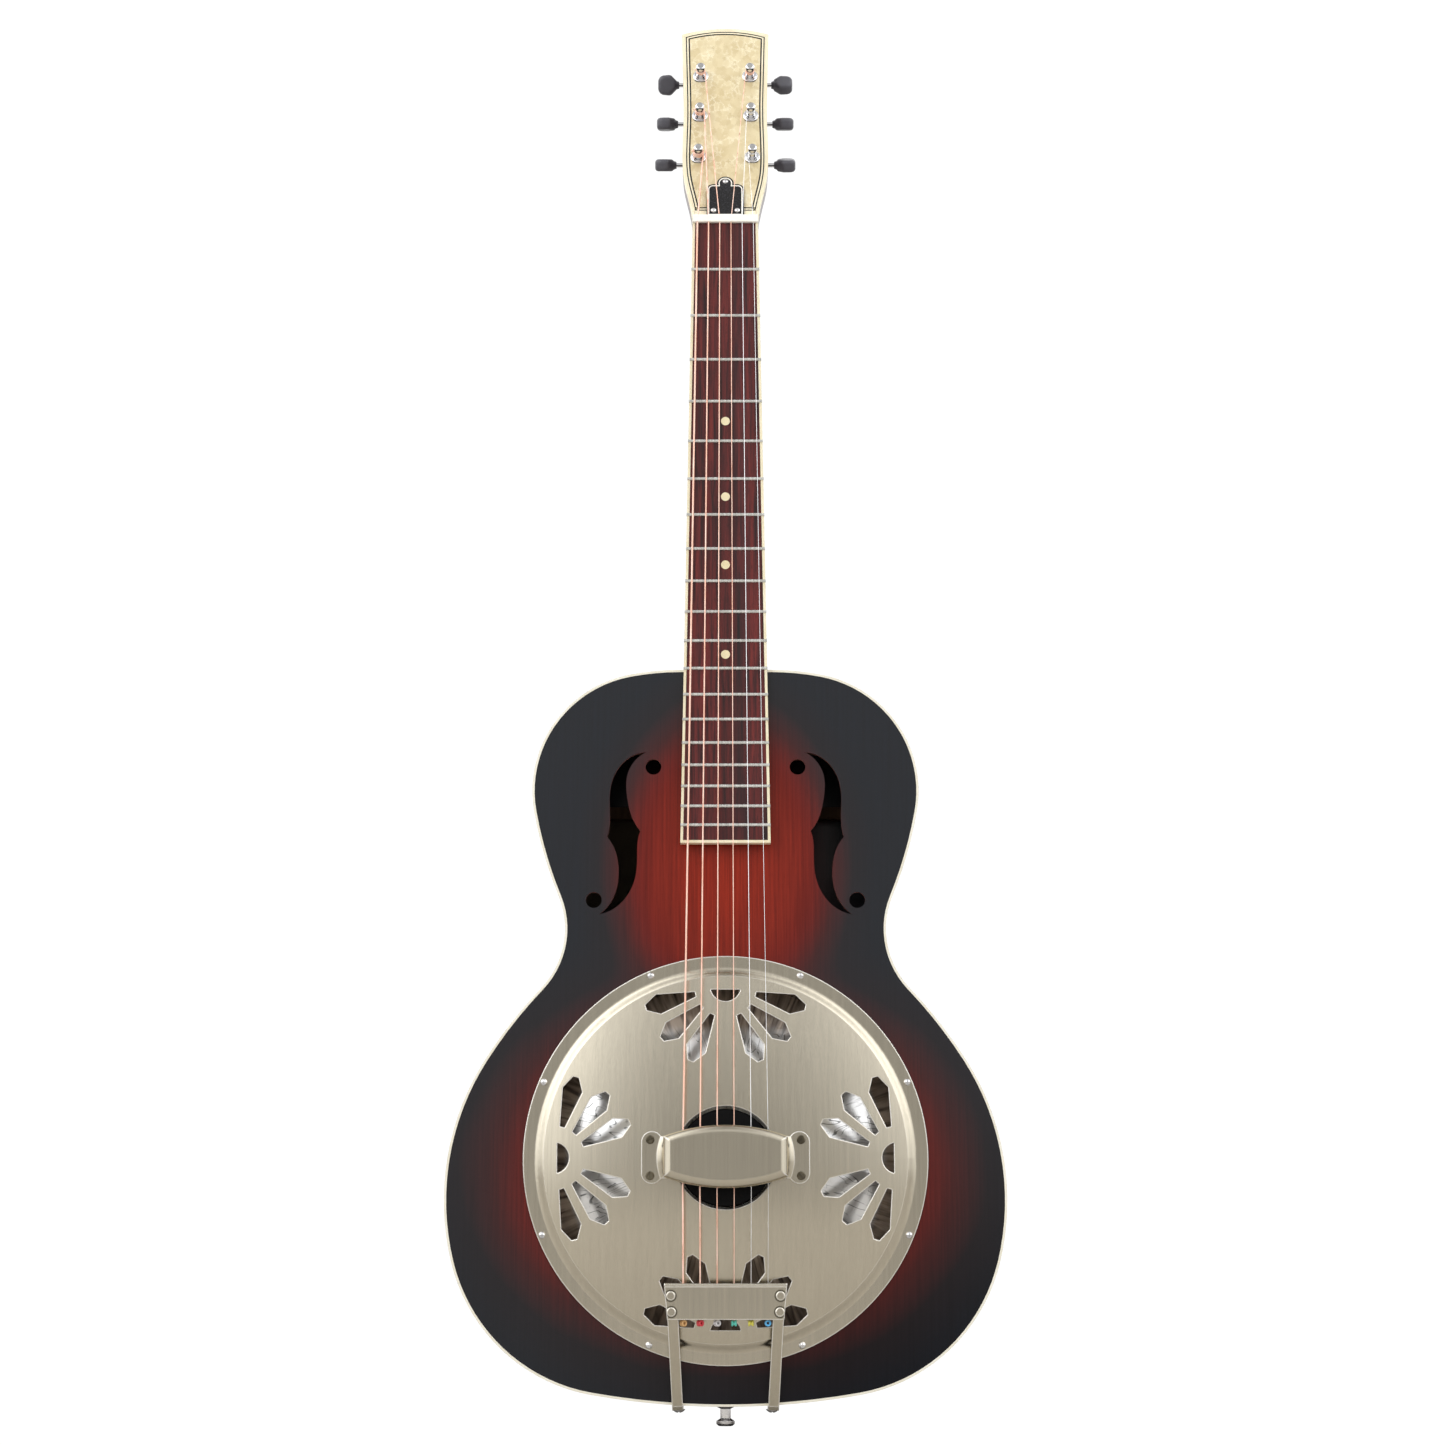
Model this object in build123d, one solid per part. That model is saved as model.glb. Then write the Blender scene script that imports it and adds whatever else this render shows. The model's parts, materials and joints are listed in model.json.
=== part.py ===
from build123d import *
import math
import os

# Resonator guitar: wooden body, spun cone under a perforated coverplate, 12-fret neck, six worm tuners.
# Frame: X across (bass side negative), -Y towards the player's audience, +Z up the neck.
# The origin is on the outer face of the flat back, straight behind the middle of the saddle.
# "Height" below always means the distance in front of the back's outer face, that is -Y.

# ---- Driving dimensions, millimetres and degrees ----

SCALE_LENGTH = 635.0
FRET_COUNT = 19
BODY_JOINT_FRET = 12
BOARD_LENGTH = 435.0

BODY_DEPTH = 84.0
BODY_TOP_Z = 321.2
BODY_TAIL_Z = -155.5
NECK_FLAT_HALF = 30.0
BODY_ARCS = ((177, 10.8), (79, 90), (286, 11.8), (56, -65.8), (302, 11.1), (164, 46.8), (113, 65.5))
TOP_THICKNESS = 2.8
BACK_THICKNESS = 3.0
SIDE_THICKNESS = 2.4
BINDING_WIDTH = 1.5
BINDING_DEPTH = 5.5
WELL_INNER = 121.5
WELL_OUTER = 132.0
LEDGE_INNER = 112.0
LEDGE_THICKNESS = 8.0
NECK_BLOCK_DEPTH = 45.0
TAIL_BLOCK_Z = -134.0
BLOCK_HALF = 32.0
LINING_WIDTH = 5.5
LINING_DEPTH = 14.0
BRACE_WIDTH = 8.0
BRACE_DEPTH = 13.0
BACK_BRACES = (236.0, 152.0, 62.0, -48.0)
TOP_BRACES = (150.0, 270.4)
STRAP_BUTTON_HEIGHT = 42.0
STRAP_BUTTON_WAIST = 3.4

COVER_RADIUS = 130.3
COVER_RIM_INNER = 122.7
CROWN_RADIUS = 117.0
CROWN_EDGE_HEIGHT = 88.4
CROWN_TOP_HEIGHT = 97.6
COVER_THICKNESS = 1.2
COVER_OPENING = 32.75
COVER_SCREW_CIRCLE = 127.0
COVER_SCREW_COUNT = 8
FAN_CENTRE = 110.2
FAN_FLAT = 108.0
FAN_DISC = 9.8
PETAL_ANGLES = (-75, -50, -25, 25, 50, 75)

REST_HALF = 39.5
REST_END_HALF = 12.6
REST_MIDDLE_HALF = 19.9
REST_TOP = 119.5
REST_SHEET = 1.6
RISER_HALF = 13.3
RISER_REACH = 43.9
RISER_TALL = 8.5
RISER_BOW_RADIUS = 36.6
FOOT_OUTER = 53.9
FOOT_WIDTH = 13.6
FOOT_HALF = 16.6
SEAT_GAP = 0.02
FOOT_SCREWS = ((-48.2, 11.2), (48.2, 11.2), (-48.2, -11.6), (48.2, -11.6))

CONE_RADIUS = 120.5
CONE_RIM_HEIGHT = 61.0
CONE_TOP_HEIGHT = 86.5
CONE_THICKNESS = 0.8
BISCUIT_RADIUS = 31.0
BISCUIT_THICKNESS = 8.2
SADDLE_TOP_HEIGHT = 108.4
SADDLE_THICKNESS = 3.2
SADDLE_HALF = 30.0
SADDLE_SLOT_DEPTH = 3.0

NECK_ANGLE = 2.04
BOARD_HEIGHT_AT_JOINT = 91.5
BOARD_THICKNESS = 6.3
BOARD_WIDTH_AT_NUT = 45.0
BOARD_WIDTH_AT_END = 59.0
BOARD_BINDING = 1.8
FRET_WIDTH = 2.2
FRET_HEIGHT = 1.1
NUT_THICKNESS = 5.5
NUT_HEIGHT = 2.6
NUT_SHIFT = 1.7
STRING_OVER_NUT = 1.8

HEAD_ANGLE = 14.0
HEAD_DROP = 4.0
HEAD_THICKNESS = 15.0
VENEER_THICKNESS = 1.5
HEAD_BINDING = 1.7
HEAD_SHOULDER_LENGTH = 166.8
HEAD_CREST_LENGTH = 171.9
ROD_DEPTH = 12.0
ROD_RADIUS = 3.0
ROD_THREAD = 2.4
ROD_NUT_RADIUS = 3.4
ROD_NUT_LENGTH = 10.0
ROD_COVER_LOW = 4.6
ROD_COVER_SHOULDER = 32.0
ROD_COVER_HALF = 12.9
ROD_COVER_LOBE = 5.75
ROD_COVER_THICKNESS = 1.8
ROD_COVER_SCREWS = ((0, 34.6), (-8.2, 9.8), (8.2, 9.8))

STRING_DIAMETERS = (0.30, 0.41, 0.61, 0.81, 1.07, 1.35)
STRING_SPACING_NUT = 38.3 / 5
STRING_SPACING_SADDLE = 54.4 / 5
STRING_SPACING_TAIL = 53.3 / 5
TAIL_STRING_Z = -102.6
TAIL_STRING_HEIGHT = 100.9

POST_ROWS = ((56.7, 18.8), (93.1, 17.9), (128.5, 17.4))
POST_RADIUS = 3.2
POST_WAIST = 2.6
POST_STANDS = 11.8
WAIST_START = 3.0
WAIST_END = 9.2
COG_TEETH = 18
COG_WIDTH = 3.0
COG_PITCH_RADIUS = 6.0
WORM_PITCH_RADIUS = 2.4
TOOTH_ADDENDUM = 0.55
WORM_CORE = 1.75
WORM_LENGTH = 8.4
WORM_AXIS_HEIGHT = 4.4
SHAFT_RADIUS = 1.5
RUNNING_CLEARANCE = 0.05
PLATE_THICKNESS = 1.0
PLATE_MIDDLE_X = 18.6
PLATE_LENGTHS = (33.0, 151.0)
PLATE_SCREW_LENGTHS = (40.0, 77.5, 113.5, 146.0)
EAR_GAP = 0.3
EAR_THICKNESS = 1.3
SHAFT_END = 22.5
BUTTON_START = 15.6
BUTTON_WIDE_START = 17.3
BUTTON_END = 30.7
BUTTON_WIDTH = 14.5
BUTTON_THICKNESS = 8.4
BUTTON_ANGLES = {1: 48, 2: 34, 3: 75, 4: 125, 5: 31, 6: 38}

TAILPIECE_TOP_Z = -79.8
TAILPIECE_BOTTOM_Z = -101.3
TAILPIECE_HEIGHT = 104.2
SHEET = 1.5
PLATE_HALF_TOP = 38.8
PLATE_HALF_BOTTOM = 36.9
RIVETS = ((34.6, -86.5), (34.2, -96.5))
LIP_RADIUS = 1.1
HOOK_DEPTH = 5.5
STRAP_WIDTH = 6.9
STRAP_TOP_X = 34.3
STRAP_TAIL_X = 30.4
STRAP_BEND = 146.0
TAIL_SCREW_HEIGHT = 70.0
WINDING_TURNS = 3
WINDING_MIDDLE = -5.6
BALL_RADIUS = 2.1
BALL_LENGTH = 3.8

# ---- Values that follow from them ----

BODY_FRET_LENGTH = SCALE_LENGTH * (1 - 2 ** (-BODY_JOINT_FRET / 12))
NUT_Z = BODY_FRET_LENGTH
NUT_FACE_Z = NUT_Z - NUT_SHIFT
BOARD_END_Z = NUT_Z - BOARD_LENGTH
JOINT_Z = BODY_TOP_Z - 0.5
COG_PITCH = 2 * math.pi * COG_PITCH_RADIUS / COG_TEETH
WORM_OFFSET = COG_PITCH_RADIUS + WORM_PITCH_RADIUS
TOP_UNDERSIDE = BODY_DEPTH - TOP_THICKNESS

NECK = Location((0, -BOARD_HEIGHT_AT_JOINT, JOINT_Z)) * Rotation(-NECK_ANGLE, 0, 0)
HEAD = NECK * Pos(0, HEAD_DROP, NUT_Z) * Rotation(-HEAD_ANGLE, 0, 0)

START = (Align.CENTER, Align.CENTER, Align.MIN)
FORWARD = (0, -1, 0)


# ---- Helpers ----


def slab(outline, low, high):
    """Solid with a front-view outline (x across, y up the neck) between two heights."""
    return extrude(Plane.XZ.offset(low) * outline, high - low, dir=FORWARD)


def head_slab(outline, near, far):
    """Solid in the headstock's frame, from depth near to depth far behind the face."""
    return extrude(Plane.XZ.offset(-far) * outline, far - near, dir=FORWARD)


def rod(start, end, radius):
    """Round bar between two points."""
    axis = Vector(*end) - Vector(*start)
    return Plane(origin=start, z_dir=axis) * Cylinder(radius, axis.length, align=START)


def forward_pin(x, z, low, high, radius):
    """Round pin that points forward, between two heights."""
    return rod((x, -low, z), (x, -high, z), radius)


def both_sides(piece):
    """A piece and its mirror image on the other side of the centreline."""
    return [piece, mirror(piece, Plane.YZ)]


def fused(pieces):
    result = pieces[0]
    for piece in pieces[1:]:
        result = result + piece
    return result


def cut(piece, tools):
    for tool in tools:
        piece = piece - tool
    return piece


def group(pieces):
    """Several separate solids in one node."""
    solids = []
    for piece in pieces:
        solids.extend(piece.solids())
    return Compound(children=solids)


def arc_chain(x, y, heading, steps):
    """Tangent arcs, each a radius and a turn in degrees that is positive to the right."""
    edges = []
    for radius, turn in steps:
        side = 1 if turn > 0 else -1
        to_centre = math.radians(heading - 90 * side)
        centre_x = x + radius * math.cos(to_centre)
        centre_y = y + radius * math.sin(to_centre)
        points = []
        for share in (0.5, 1.0):
            angle = to_centre + math.pi - math.radians(turn * share)
            points.append((centre_x + radius * math.cos(angle), centre_y + radius * math.sin(angle)))
        edges.append(ThreePointArc((x, y), points[0], points[1]))
        x, y = points[1]
        heading -= turn
    return edges, (x, y)


def body_outline():
    flat = Line((0, BODY_TOP_Z), (NECK_FLAT_HALF, BODY_TOP_Z))
    arcs, end = arc_chain(NECK_FLAT_HALF, BODY_TOP_Z, 0, BODY_ARCS)
    half = [flat] + arcs
    tail = ThreePointArc(end, (0, BODY_TAIL_Z), (-end[0], end[1]))
    return make_face(half + [edge.mirror(Plane.YZ) for edge in half] + [tail])


OUTLINE = body_outline()
INSIDE = offset(OUTLINE, -SIDE_THICKNESS)


def band(z_low, z_high, half_width):
    """Front-view rectangle on the centreline."""
    return Pos(0, (z_low + z_high) / 2) * Rectangle(2 * half_width, z_high - z_low)


# ---- Body ----


def f_opening():
    """The bass side's f-shaped opening: two crescents that meet at a pair of notches."""
    upper_tip = (-52.3, 265.5)
    lower_tip = (-82.6, 157.8)
    outer_notch = (-77.8, 209.0)
    inner_notch = (-56.0, 213.0)
    outer_upper = ((-64.7, 261.2), (-73.4, 250.2), (-76.4, 235.0), (-76.0, 222.0))
    outer_lower = ((-72.2, 199.4), (-70.1, 186.5), (-71.6, 173.7))
    inner_lower = ((-69.6, 164.1), (-60.5, 177.7), (-58.0, 194.0), (-57.7, 206.5))
    inner_upper = ((-60.8, 220.3), (-64.8, 235.0), (-64.6, 251.0), (-59.0, 260.8))
    return make_face([
        Spline(upper_tip, *outer_upper, outer_notch),
        Spline(outer_notch, *outer_lower, lower_tip),
        Spline(lower_tip, *inner_lower, inner_notch),
        Spline(inner_notch, *inner_upper, upper_tip),
    ])


def make_top():
    hole_radius = 5.2
    openings = both_sides(slab(f_opening(), TOP_UNDERSIDE - 1, BODY_DEPTH + 1))
    for x, z in ((-47.6, 255.7), (-86.2, 167.2)):
        openings += both_sides(forward_pin(x, z, TOP_UNDERSIDE - 1, BODY_DEPTH + 1, hole_radius))
    plate = slab(offset(OUTLINE, -BINDING_WIDTH), TOP_UNDERSIDE, BODY_DEPTH)
    plate = plate - slab(Circle(WELL_INNER), TOP_UNDERSIDE - 1, BODY_DEPTH + 1)
    return cut(plate, openings)


def make_binding(low, high):
    return slab(OUTLINE - offset(OUTLINE, -BINDING_WIDTH), low, high)


def make_sides():
    sides = slab(OUTLINE - INSIDE, BACK_THICKNESS, TOP_UNDERSIDE)
    rabbet = OUTLINE - offset(OUTLINE, -BINDING_WIDTH)
    sides = sides - slab(rabbet, BODY_DEPTH - BINDING_DEPTH, BODY_DEPTH)
    return sides - slab(rabbet, 0, BINDING_DEPTH)


def make_soundwell():
    """Wooden ring glued under the top, with the ledge that the cone's rim stands on."""
    ring = Circle(WELL_OUTER) - Circle(WELL_INNER)
    ledge = Circle(WELL_OUTER) - Circle(LEDGE_INNER)
    wall = slab(ring, CONE_RIM_HEIGHT, TOP_UNDERSIDE)
    return wall + slab(ledge, CONE_RIM_HEIGHT - LEDGE_THICKNESS, CONE_RIM_HEIGHT)


def make_neck_block():
    outline = INSIDE & band(BODY_TOP_Z - SIDE_THICKNESS - NECK_BLOCK_DEPTH, BODY_TOP_Z, BLOCK_HALF)
    return slab(outline, BACK_THICKNESS, TOP_UNDERSIDE)


def make_tail_block():
    outline = INSIDE & band(BODY_TAIL_Z, TAIL_BLOCK_Z, BLOCK_HALF)
    return slab(outline, BACK_THICKNESS, TOP_UNDERSIDE)


def make_linings(blocks):
    """Strips that give the top and the back a wider glue surface along the sides."""
    ring = INSIDE - offset(OUTLINE, -SIDE_THICKNESS - LINING_WIDTH)
    front = slab(ring, TOP_UNDERSIDE - LINING_DEPTH, TOP_UNDERSIDE)
    rear = slab(ring, BACK_THICKNESS, BACK_THICKNESS + LINING_DEPTH)
    return group([cut(front, blocks), cut(rear, blocks)])


def make_braces():
    """Cross braces under the back and under the top, between the linings."""
    glue_gap = 0.3
    room = offset(OUTLINE, -SIDE_THICKNESS - LINING_WIDTH - glue_gap)
    layers = (
        (BACK_BRACES, BACK_THICKNESS),
        (TOP_BRACES, TOP_UNDERSIDE - BRACE_DEPTH),
    )
    braces = []
    for places, low in layers:
        for z in places:
            outline = room & band(z - BRACE_WIDTH / 2, z + BRACE_WIDTH / 2, COVER_RADIUS * 2)
            braces.append(slab(outline, low, low + BRACE_DEPTH))
    return group(braces)


# ---- Cone, biscuit and saddle ----


def turned(points):
    """Ring turned about the cone's axis from (radius, height) corners."""
    outline = Polygon(*points, align=None)
    return Rotation(90, 0, 0) * revolve(Plane.XZ * outline, Axis.Z)


def make_cone():
    foot = 116.0
    rolled = 117.6
    flat = 27.0
    lip = 2.4
    rim = CONE_RIM_HEIGHT
    top = CONE_TOP_HEIGHT
    wall = CONE_THICKNESS
    neck = 2.0
    under = (
        (CONE_RADIUS, rim),
        (foot, rim),
        (foot - neck, rim + neck),
        (flat, top - wall),
        (neck, top - wall),
    )
    over = (
        (neck, top),
        (flat + 0.4, top),
        (foot - neck + 0.4, rim + neck + wall),
        (foot + 0.4, rim + wall),
        (rolled, rim + wall),
        (rolled, rim + lip),
        (CONE_RADIUS, rim + lip),
    )
    return turned(under + over)


def make_biscuit():
    disc = forward_pin(0, 0, CONE_TOP_HEIGHT, CONE_TOP_HEIGHT + BISCUIT_THICKNESS, BISCUIT_RADIUS)
    rim = disc.edges().filter_by(GeomType.CIRCLE).sort_by(Axis.Y)[0]
    return fillet(rim, 1.2)


def make_saddle():
    low = CONE_TOP_HEIGHT + BISCUIT_THICKNESS - SADDLE_SLOT_DEPTH
    half = SADDLE_THICKNESS / 2
    return slab(band(-half, half, SADDLE_HALF), low, SADDLE_TOP_HEIGHT + 0.2)


def make_biscuit_screw():
    head = forward_pin(0, 0, CONE_TOP_HEIGHT - CONE_THICKNESS - 2, CONE_TOP_HEIGHT - CONE_THICKNESS, 4.0)
    return head + forward_pin(0, 0, CONE_TOP_HEIGHT - CONE_THICKNESS - 1, CONE_TOP_HEIGHT + 4.5, 1.6)


# ---- Coverplate and its fittings ----


def crown_height(radius):
    """Height of the coverplate's crowned outer surface at a radius."""
    drop = CROWN_TOP_HEIGHT - CROWN_EDGE_HEIGHT
    return CROWN_TOP_HEIGHT - drop * (radius / CROWN_RADIUS) ** 2


def cover_profile(lift):
    """Open outline of the coverplate's surface from the opening to the rim, in (radius, height)."""
    crown = ThreePointArc(
        (COVER_OPENING, crown_height(COVER_OPENING) + lift),
        (75, crown_height(75) + lift),
        (CROWN_RADIUS, CROWN_EDGE_HEIGHT + lift),
    )
    step = Spline(
        (CROWN_RADIUS, CROWN_EDGE_HEIGHT + lift),
        (COVER_RIM_INNER, BODY_DEPTH + COVER_THICKNESS + lift),
        tangents=((1, -0.3), (1, 0)),
    )
    rim_height = BODY_DEPTH + COVER_THICKNESS + lift
    rim = Line((COVER_RIM_INNER, rim_height), (COVER_RADIUS, rim_height))
    return [crown, step, rim]


def turned_curves(edges):
    return Rotation(90, 0, 0) * revolve(Plane.XZ * make_face(edges), Axis.Z)


def cover_sheet():
    low = BODY_DEPTH
    high = BODY_DEPTH + COVER_THICKNESS
    inner = crown_height(COVER_OPENING)
    ends = [
        Line((COVER_RADIUS, high), (COVER_RADIUS, low)),
        Line((COVER_OPENING, inner), (COVER_OPENING, inner - COVER_THICKNESS)),
    ]
    sheet = turned_curves(cover_profile(0) + cover_profile(-COVER_THICKNESS) + ends)
    lip_ring = Circle(COVER_OPENING + COVER_THICKNESS) - Circle(COVER_OPENING)
    return sheet + slab(lip_ring, inner - 4.0, inner - 0.3)


def under_cover():
    """Everything inside the coverplate's outer surface, to shape pieces that stand on it."""
    high = BODY_DEPTH + COVER_THICKNESS
    ends = [
        Line((COVER_RADIUS, high), (COVER_RADIUS, 0)),
        Line((COVER_RADIUS, 0), (0, 0)),
        Line((0, 0), (0, crown_height(COVER_OPENING))),
        Line((0, crown_height(COVER_OPENING)), (COVER_OPENING, crown_height(COVER_OPENING))),
    ]
    return turned_curves(cover_profile(0) + ends)


def fan_openings():
    """One fan of openings below the rim: a half disc and six petals that spread inwards from it."""
    disc = Pos(0, FAN_CENTRE) * Circle(FAN_DISC)
    disc = disc & band(FAN_FLAT - FAN_DISC - 5, FAN_FLAT, FAN_DISC)
    petal = Polygon(
        (-1.55, 20.4), (-6.5, 44.9), (-1.85, 53.3), (1.85, 53.3), (6.5, 44.9), (1.55, 20.4), align=None
    )
    openings = [disc]
    for angle in PETAL_ANGLES:
        openings.append(Pos(0, FAN_CENTRE) * Rot(0, 0, 180 + angle) * petal)
    return openings


def make_coverplate():
    sheet = cover_sheet()
    for quarter in range(4):
        for opening in fan_openings():
            turned_opening = Rot(0, 0, 90 * quarter) * opening
            sheet = sheet - slab(turned_opening, BODY_DEPTH - 5, CROWN_TOP_HEIGHT + 5)
    return sheet


def cross_head_screw(head_radius, head_height, shank_radius, length):
    """Dome-head screw along +Z with its head's seat at the origin and a cross recess."""
    sphere_radius = (head_radius**2 + head_height**2) / (2 * head_height)
    dome = Pos(0, 0, head_height - sphere_radius) * Sphere(sphere_radius)
    dome = dome & Cylinder(head_radius, head_height, align=START)
    slot = head_radius * 1.1
    narrow = head_radius * 0.24
    deep = head_height * 0.6
    recess = Pos(0, 0, head_height - deep / 2) * (Box(slot, narrow, deep) + Box(narrow, slot, deep))
    return dome - recess + Pos(0, 0, -length) * Cylinder(shank_radius, length, align=START)


def slotted_screw(head_radius, head_height, shank_radius, length, slot_angle):
    head = Cylinder(head_radius, head_height, align=START)
    head = fillet(head.edges().filter_by(GeomType.CIRCLE).sort_by(Axis.Z)[-1], head_height * 0.45)
    slot = Rot(0, 0, slot_angle) * Box(head_radius * 2.2, head_radius * 0.26, head_height)
    head = head - Pos(0, 0, head_height) * slot
    return head + Pos(0, 0, -length) * Cylinder(shank_radius, length, align=START)


def facing_front(screw, x, z, height):
    """Places a screw made along +Z so that its head faces forward with its seat at a height."""
    return Plane(origin=(x, -height, z), x_dir=(1, 0, 0), z_dir=(0, -1, 0)) * screw


def cover_screws():
    screws = []
    for count in range(COVER_SCREW_COUNT):
        angle = math.radians(22.5 + 45 * count)
        screw = cross_head_screw(2.3, 1.3, 1.25, 11)
        x = COVER_SCREW_CIRCLE * math.cos(angle)
        z = COVER_SCREW_CIRCLE * math.sin(angle)
        screws.append(facing_front(screw, x, z, BODY_DEPTH + COVER_THICKNESS))
    return screws


def rest_outline(inset):
    """Front outline of the hand rest: long sides bulge, ends are short."""
    end_half = REST_END_HALF - inset
    half = REST_HALF - inset
    middle = REST_MIDDLE_HALF - inset
    upper = ThreePointArc((-half, end_half), (0, middle), (half, end_half))
    lower = ThreePointArc((half, -end_half), (0, -middle), (-half, -end_half))
    left = Line((-half, -end_half), (-half, end_half))
    right = Line((half, end_half), (half, -end_half))
    return make_face([upper, right, lower, left])


def foot_surface():
    """Height of the flat front of the hand rest's feet."""
    return crown_height(FOOT_OUTER - FOOT_WIDTH) + REST_SHEET


def rest_riser(base):
    """Hollow curve at an end of the hand rest that flows down into its foot; its front view is bowed."""
    bow_centre = RISER_REACH - RISER_BOW_RADIUS
    low = foot_surface()
    near = REST_HALF - 6.0 - bow_centre
    wall = REST_HALF - bow_centre
    hollow = ThreePointArc(
        (RISER_BOW_RADIUS, low),
        (wall + 1.4, low + 2.2),
        (wall - 0.6, low + RISER_TALL),
    )
    outline = [
        Line((near, base), (RISER_BOW_RADIUS, base)),
        Line((RISER_BOW_RADIUS, base), (RISER_BOW_RADIUS, low)),
        hollow,
        Line((wall - 0.6, low + RISER_TALL), (near, low + RISER_TALL)),
        Line((near, low + RISER_TALL), (near, base)),
    ]
    turned_piece = Pos(bow_centre, 0, 0) * turned_curves(outline)
    reach = slab(Pos(REST_HALF, 0) * Rectangle(20.0, 2 * RISER_HALF), base, REST_TOP)
    return turned_piece & reach


def make_hand_rest(cover_solid):
    """Pressed bridge cover: a pillowed shell open to the strings, standing on two flat feet."""
    base = crown_height(COVER_OPENING) - 4
    block = slab(rest_outline(0), base, REST_TOP)
    front = block.faces().sort_by(Axis.Y)[0]
    block = fillet(front.edges(), 5.0)
    hollow = slab(rest_outline(REST_SHEET), base - 1, REST_TOP - REST_SHEET)
    hollow_front = hollow.faces().sort_by(Axis.Y)[0]
    hollow = fillet(hollow_front.edges(), 3.4)
    window = slab(band(-40, 40, REST_HALF - 4.5), base - 2, REST_TOP - 7.0)
    shell = block - hollow - window
    foot = RectangleRounded(FOOT_WIDTH, 2 * FOOT_HALF, FOOT_WIDTH / 2 - 0.1)
    foot = slab(Pos(FOOT_OUTER - FOOT_WIDTH / 2, 0) * foot, base, foot_surface())
    inside = slab(rest_outline(REST_SHEET), base - 1, REST_TOP - 5)
    ends = both_sides(foot + rest_riser(base) - inside)
    return fused([shell] + ends) - Pos(0, -SEAT_GAP, 0) * cover_solid


def hand_rest_screws():
    screws = []
    for count, (x, z) in enumerate(FOOT_SCREWS):
        screw = slotted_screw(2.8, 1.8, 1.4, 9, 25 + 35 * count)
        screws.append(facing_front(screw, x, z, foot_surface()))
    return screws


# ---- Tailpiece ----


def tail_string_x(number):
    """X of string number 1 (treble) to 6 (bass) where it leaves the tailpiece."""
    return (3.5 - number) * STRING_SPACING_TAIL


def make_tailpiece_plate():
    outline = Polygon(
        (-PLATE_HALF_TOP, TAILPIECE_TOP_Z),
        (-PLATE_HALF_BOTTOM, TAILPIECE_BOTTOM_Z),
        (PLATE_HALF_BOTTOM, TAILPIECE_BOTTOM_Z),
        (PLATE_HALF_TOP, TAILPIECE_TOP_Z),
        align=None,
    )
    plate = slab(outline, TAILPIECE_HEIGHT, TAILPIECE_HEIGHT + SHEET)
    lip = rod(
        (-PLATE_HALF_TOP, -TAILPIECE_HEIGHT - LIP_RADIUS, TAILPIECE_TOP_Z),
        (PLATE_HALF_TOP, -TAILPIECE_HEIGHT - LIP_RADIUS, TAILPIECE_TOP_Z),
        LIP_RADIUS,
    )
    hook_outline = band(TAILPIECE_BOTTOM_Z, TAILPIECE_BOTTOM_Z + SHEET, 29.5)
    hook = slab(hook_outline, TAILPIECE_HEIGHT - HOOK_DEPTH, TAILPIECE_HEIGHT + 0.5)
    plate = fused([plate, lip, hook])
    for number in range(1, 7):
        slot = STRING_DIAMETERS[number - 1] / 2 + 0.1
        x = tail_string_x(number)
        opening = Pos(x, TAILPIECE_BOTTOM_Z) * Rectangle(2 * slot, 4 * SHEET)
        plate = plate - slab(opening, TAILPIECE_HEIGHT - HOOK_DEPTH - 1, TAIL_STRING_HEIGHT + 1.2)
    return plate


def straps(body):
    """Both straps, cut to lie flat on the tail; the outline is in (distance below the saddle, height)."""
    high = TAILPIECE_HEIGHT
    edge = BODY_DEPTH + 1.2
    tail = -BODY_TAIL_Z + 2.2
    start = 82.5
    end_height = 60.0
    outer = [
        (start, high),
        (99.5, high),
        (STRAP_BEND, edge + 4.2),
        (tail - 2.5, edge + SHEET),
        (tail, edge - 2.0),
        (tail, end_height),
    ]
    inner = [
        (tail - 4.0, end_height),
        (tail - 4.0, edge - 3.0),
        (STRAP_BEND, edge + 2.5),
        (99.0, high - SHEET),
        (start, high - SHEET),
    ]
    side = Polygon(*outer, *inner, align=None)
    plane = Plane(origin=(0, 0, 0), x_dir=(0, 0, -1), z_dir=(-1, 0, 0))
    bar = extrude(plane * side, STRAP_WIDTH / 2, both=True)
    lean = math.degrees(math.atan2(STRAP_TOP_X - STRAP_TAIL_X, TAILPIECE_TOP_Z - BODY_TAIL_Z))
    bar = Pos(STRAP_TAIL_X, 0, BODY_TAIL_Z) * Rot(0, lean, 0) * Pos(0, 0, -BODY_TAIL_Z) * bar
    bar = bar - body
    return both_sides(bar)


def rivets():
    pins = []
    for x, z in RIVETS:
        shank = forward_pin(x, z, TAILPIECE_HEIGHT - SHEET, TAILPIECE_HEIGHT + SHEET + 0.2, 1.6)
        head = forward_pin(x, z, TAILPIECE_HEIGHT + SHEET, TAILPIECE_HEIGHT + SHEET + 1.0, 3.0)
        head = fillet(head.edges().filter_by(GeomType.CIRCLE).sort_by(Axis.Y)[0], 0.6)
        pins += both_sides(shank + head)
    return pins


def tail_screws():
    screw = cross_head_screw(4.2, 2.3, 1.7, 20)
    seat = BODY_TAIL_Z - 2.0
    origin = (STRAP_TAIL_X - 0.6, -TAIL_SCREW_HEIGHT, seat)
    place = Plane(origin=origin, x_dir=(1, 0, 0), z_dir=(0, 0, -1))
    return both_sides(place * screw)


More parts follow.
